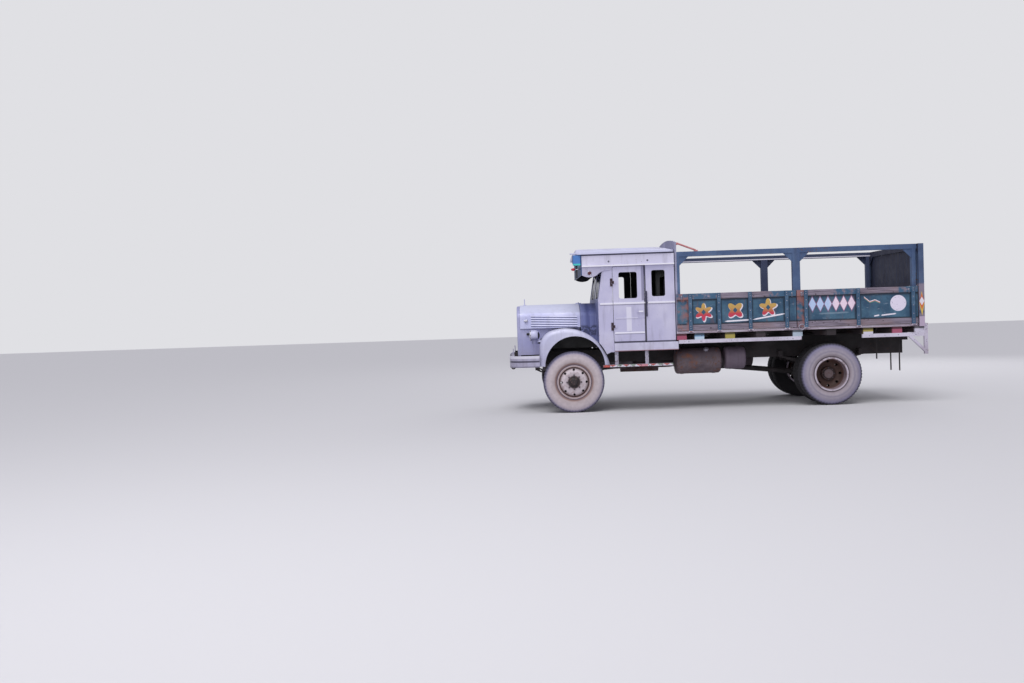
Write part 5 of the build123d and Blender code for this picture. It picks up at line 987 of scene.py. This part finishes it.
for side, word in ((-1, "left"), (1, "right")):
    tyre = piece(f"front_tyre_tread_{word}", [tyre_shape(front_axle_x, front_wheel_y, side)],
                 f"front_wheel_{word}", front_rubber)
    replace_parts(tyre, f"front_tyre_{word}")
    twins = [tyre_shape(rear_axle_x, rear_wheel_y + middle_out, side) for middle_out in (0.1425, -0.1425)]
    tyre = piece(f"rear_tyre_treads_{word}", twins, f"rear_wheels_{word}", rear_rubber)
    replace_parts(tyre, f"rear_tyres_{word}")
    piece(f"front_wheel_nuts_{word}",
          nut_ring(front_axle_x, side, out=1.089, ring_radius=0.118, radius=0.015, height=0.016),
          f"front_wheel_{word}", hub_iron, smooth=False)
    piece(f"rear_wheel_nuts_{word}",
          nut_ring(rear_axle_x, side, out=0.9405, ring_radius=0.092, radius=0.009, height=0.012),
          f"rear_wheels_{word}", hub_iron, smooth=False)


# Lamps: chrome rims and ribbed glass, red side markers, tail lamps and the bullet lamp
def lamp_shapes():
    """Turned rims and lenses: a rim's tube section and a lens's shallow dome about each lamp's line."""
    rims, lenses, reds, dark_reds = [], [], [], []
    for side in (-1, 1):
        face = (behind(-0.690), side * 0.762, 1.296)
        rim = ((0, 0.06), (0, 0.0935), (0.010, 0.094), (0.017, 0.090), (0.018, 0.082), (0.010, 0.060),
               (0, 0.06))
        rims.append(lathe(face, (-1, 0, 0), rim, 48))
        lenses.append(lens(face, (-1, 0, 0), back=0.002, foot=0.010, depth=0.019, radius=0.081, steps=48))
        marker = (behind(0.307), side * 1.095, 2.297)
        rim = ((0, 0.028), (0, 0.038), (0.007, 0.038), (0.008, 0.030), (0, 0.028))
        rims.append(lathe(marker, (0, side, 0), rim, 32))
        dark_reds.append(lens(marker, (0, side, 0), back=0.001, foot=0.004, depth=0.009, radius=0.030))
        tail_x = (post_rear_x - 0.040, post_rear_x - 0.006)
        reds.append(knob(side, tail_x, (0.85, 0.96), (1.081, 1.149), power=0.18))
    stalk = (visor_front_x, -1.050, 2.370)
    rims.append(rod(stalk, (visor_front_x - 0.10, -1.050, 2.370), 0.008))
    bullet = lens(stalk, (-1, 0, 0), back=0.096, foot=0.110, depth=0.046, radius=0.024, back_radius=0.020)
    reds.append(bullet)
    return rims, lenses, reds, dark_reds


lamp_rims, lamp_lenses, red_lenses, dark_lenses = lamp_shapes()
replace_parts(piece("lamp_rims", lamp_rims, "chassis", chrome), "lamps")
piece("head_lamp_lenses", lamp_lenses, "chassis", clear_lens)
piece("red_lamp_lenses", red_lenses, "chassis", red_lens)
piece("side_marker_lenses", dark_lenses, "chassis", dark_red_lens)

# Seat: a base box with a sewn cushion and back pad
seat_base = pillow((behind(1.148), -0.975, 1.1005), (behind(1.633), 0.975, 1.402), 0.08)
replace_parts(piece("seat_base_box", [seat_base], "chassis", wheel_black), "seat_bench")
for name, front, rear, low, high, power, depth in (
    ("seat_cushion", 1.108, 1.640, 1.400, 1.512, 0.30, 0.22),
    ("seat_back_pad", 1.545, 1.643, 1.500, 1.868, 0.24, 0.04),
):
    pad = pillow((behind(front), -1.004, low), (behind(rear), 1.004, high), power, 9, depth)
    piece(name, [pad], "chassis", seat_cover)


# Bolts on the gates' stiffeners, the lower rails and the rear boards
def bolt_heads(side, out, places, radius):
    """Domed heads on one side of the lorry, at pairs of X behind the front axle and height."""
    return [bolt((behind(x), side * out, z), (0, side, 0), radius, height=0.004) for x, z in places]


stiffener_heights = (1.335, 1.37, 1.46, 1.60, 1.74, 1.84, 1.875)
rail_places = [(x, 1.120) for x in (1.90, 2.10, 2.60, 3.10, 3.60, 4.85, 5.10, 5.32, 5.60)]
rear_board_places = [(5.772, z) for z in (0.86, 1.0, 1.2, 1.26)]
for side, word in ((-1, "left"), (1, "right")):
    for end, stiffeners in (("front", front_stiffeners), ("rear", rear_stiffeners)):
        columns = [(x, z) for x in stiffeners for z in stiffener_heights]
        piece(f"gate_bolts_{end}_{word}", bolt_heads(side, gate_outer_y, columns, 0.0085),
              f"side_gate_{end}_{word}", bare_steel)
    piece(f"rail_bolts_{word}", bolt_heads(side, 1.130, rail_places + rear_board_places, 0.009), "chassis",
          bare_steel)


# Small fittings: bonnet and nose catches, engine sheets, wipers, filler cap, gate ring and hooks
def ring(centre, normal, radius, wire, steps=40, around=10):
    """A torus: a circle of the wire's radius carried round a larger circle."""
    arc = np.linspace(0, 2 * np.pi, around, endpoint=False)
    profile = [(wire * math.sin(a), radius + wire * math.cos(a)) for a in arc]
    points = lathe(centre, normal, profile, steps)[0]
    return points, quads(steps, around, round_rows=True, round_columns=True)


for name, body, coat, x, out, z in (
    ("bonnet_knobs", "bonnet", chrome, (behind(-0.80), behind(-0.735)), (0.470, 0.500), (1.525, 1.562)),
    ("nose_hooks", "chassis", rubber_black, (behind(-0.765), behind(-0.700)), (0.448, 0.478),
     (1.295, 1.335)),
):
    piece(name, [knob(side, x, out, z) for side in (-1, 1)], body, coat)


def engine_side(side):
    """A thin sheet beside the engine from the nose to the cowl: its top is level under the bonnet
    and its foot follows a circle, so that it ends just under the fender's inner edge."""
    inner, outer, arch_radius = 0.446, 0.450, 0.640
    run = np.linspace(-0.535, 0.155, 31)
    foot = 0.746 + np.sqrt(arch_radius ** 2 - (run + 0.10) ** 2)
    top = 1.425 + 0 * run
    corners = ((inner, foot), (outer, foot), (outer, top), (inner, top))
    points = np.stack([np.stack([behind(run), side * y + 0 * run, z], -1) for y, z in corners], 1)
    last = 4 * (len(run) - 1)
    ends = np.array([[0, 1, 2, 3], [last, last + 3, last + 2, last + 1]])
    return points, np.concatenate([quads(len(run), 4, round_columns=True), ends])


side_sheet_enamel = enamel("side_sheet_enamel", "8f90b6", "a6a6c6", gloss=0.5)[0]
piece("engine_side_sheets", [engine_side(-1), engine_side(1)], "chassis", side_sheet_enamel, smooth=False)

wipers = []
for y in (-0.62, 0.40):
    foot = Vector((behind(0.452), y, 1.892))
    tip = Vector((behind(0.490), y + 0.30, 2.13))
    wipers.append(rod(foot + Vector((0.012, 0, 0)), foot - Vector((0.020, 0, 0)), 0.012))
    wipers.append(rod(foot - Vector((0.014, 0, 0)), tip, 0.004))
    wipers.append(rod(tip - Vector((0.004, 0.05, 0.17)), tip + Vector((0.006, 0.05, 0.13)), 0.006))
piece("wipers", wipers, "chassis", rubber_black)

cap_profile = ((-0.02, 0), (-0.02, 0.034), (0.012, 0.034), (0.014, 0.043), (0.032, 0.043), (0.036, 0.036),
               (0.036, 0))
filler = lathe((behind(2.23), -0.83, 0.955), (0, -0.45, 0.89), cap_profile, 32)
piece("tank_filler_cap", [filler], "chassis", bare_steel)

gate_ring = ring((behind(3.745), -1.160, 1.300), (0, 1, 0), radius=0.046, wire=0.007)
piece("gate_ring", [gate_ring], "chassis", bare_steel)


def gate_hooks(places):
    """A stub out of the top plank and a hook that hangs down from it, at each place."""
    parts = []
    for x in places:
        parts.append(rod((x, -1.128, 1.86), (x, -1.150, 1.86), 0.010))
        parts.append(rod((x, -1.147, 1.875), (x, -1.147, 1.800), 0.005))
    return parts


for name, end, places in (("gate_hook_plates", "front", (behind(1.80), behind(3.60))),
                          ("gate_hook_plates_rear", "rear", (behind(3.75), behind(5.50)))):
    piece(name, gate_hooks(places), f"side_gate_{end}_left", bare_steel)

# Floor, backdrop and light
floor_mesh = bpy.data.meshes.new("studio_floor")
floor_mesh.from_pydata([(-60, -60, 0), (60, -60, 0), (60, 60, 0), (-60, 60, 0)], [], [(0, 1, 2, 3)])
floor_object = put_in_scene("studio_floor", floor_mesh)
floor_paint, shader, place = start("pale_studio_floor", 0.9)
shader.inputs["Base Color"].default_value = linear("c9c8cc")
floor_mesh.materials.append(floor_paint)

world = bpy.data.worlds.new("studio")
bpy.context.scene.world = world
world.use_nodes = True
sky = world.node_tree
sky.nodes.clear()
ray = add("LightPath", tree=sky)
seen = add("Math", (ray.outputs["Is Camera Ray"], ray.outputs["Is Transmission Ray"]), operation="MAXIMUM")
backdrop = add("Background", {"Color": linear("e0e0e4"), "Strength": 1.0}, tree=sky)
soft_light = add("Background", {"Color": linear("f4f4ff"), "Strength": 0.45}, tree=sky)
both = add("MixShader", (seen, soft_light, backdrop))
add("OutputWorld", {"Surface": both})


def shine(name, kind, energy, aim, place=(0, 0, 0)):
    """A light that shines along aim."""
    light = bpy.data.lights.new(name, kind)
    light.energy = energy
    lamp = put_in_scene(name, light)
    lamp.location = place
    lamp.rotation_euler = aim.to_track_quat("-Z", "Y").to_euler()
    return light


sun = shine("hazy_sun", "SUN", 1.6, Vector((0.15, 0.42, -1.0)))
sun.angle = math.radians(40)
for name, place, power in (("side_softbox", (-6.0, -13.0, 8.0), 520.0),
                           ("rear_softbox", (6.0, 10.0, 8.0), 340.0)):
    softbox = shine(name, "AREA", power, Vector((0, 0, 1.2)) - Vector(place), place)
    softbox.size = 9.0
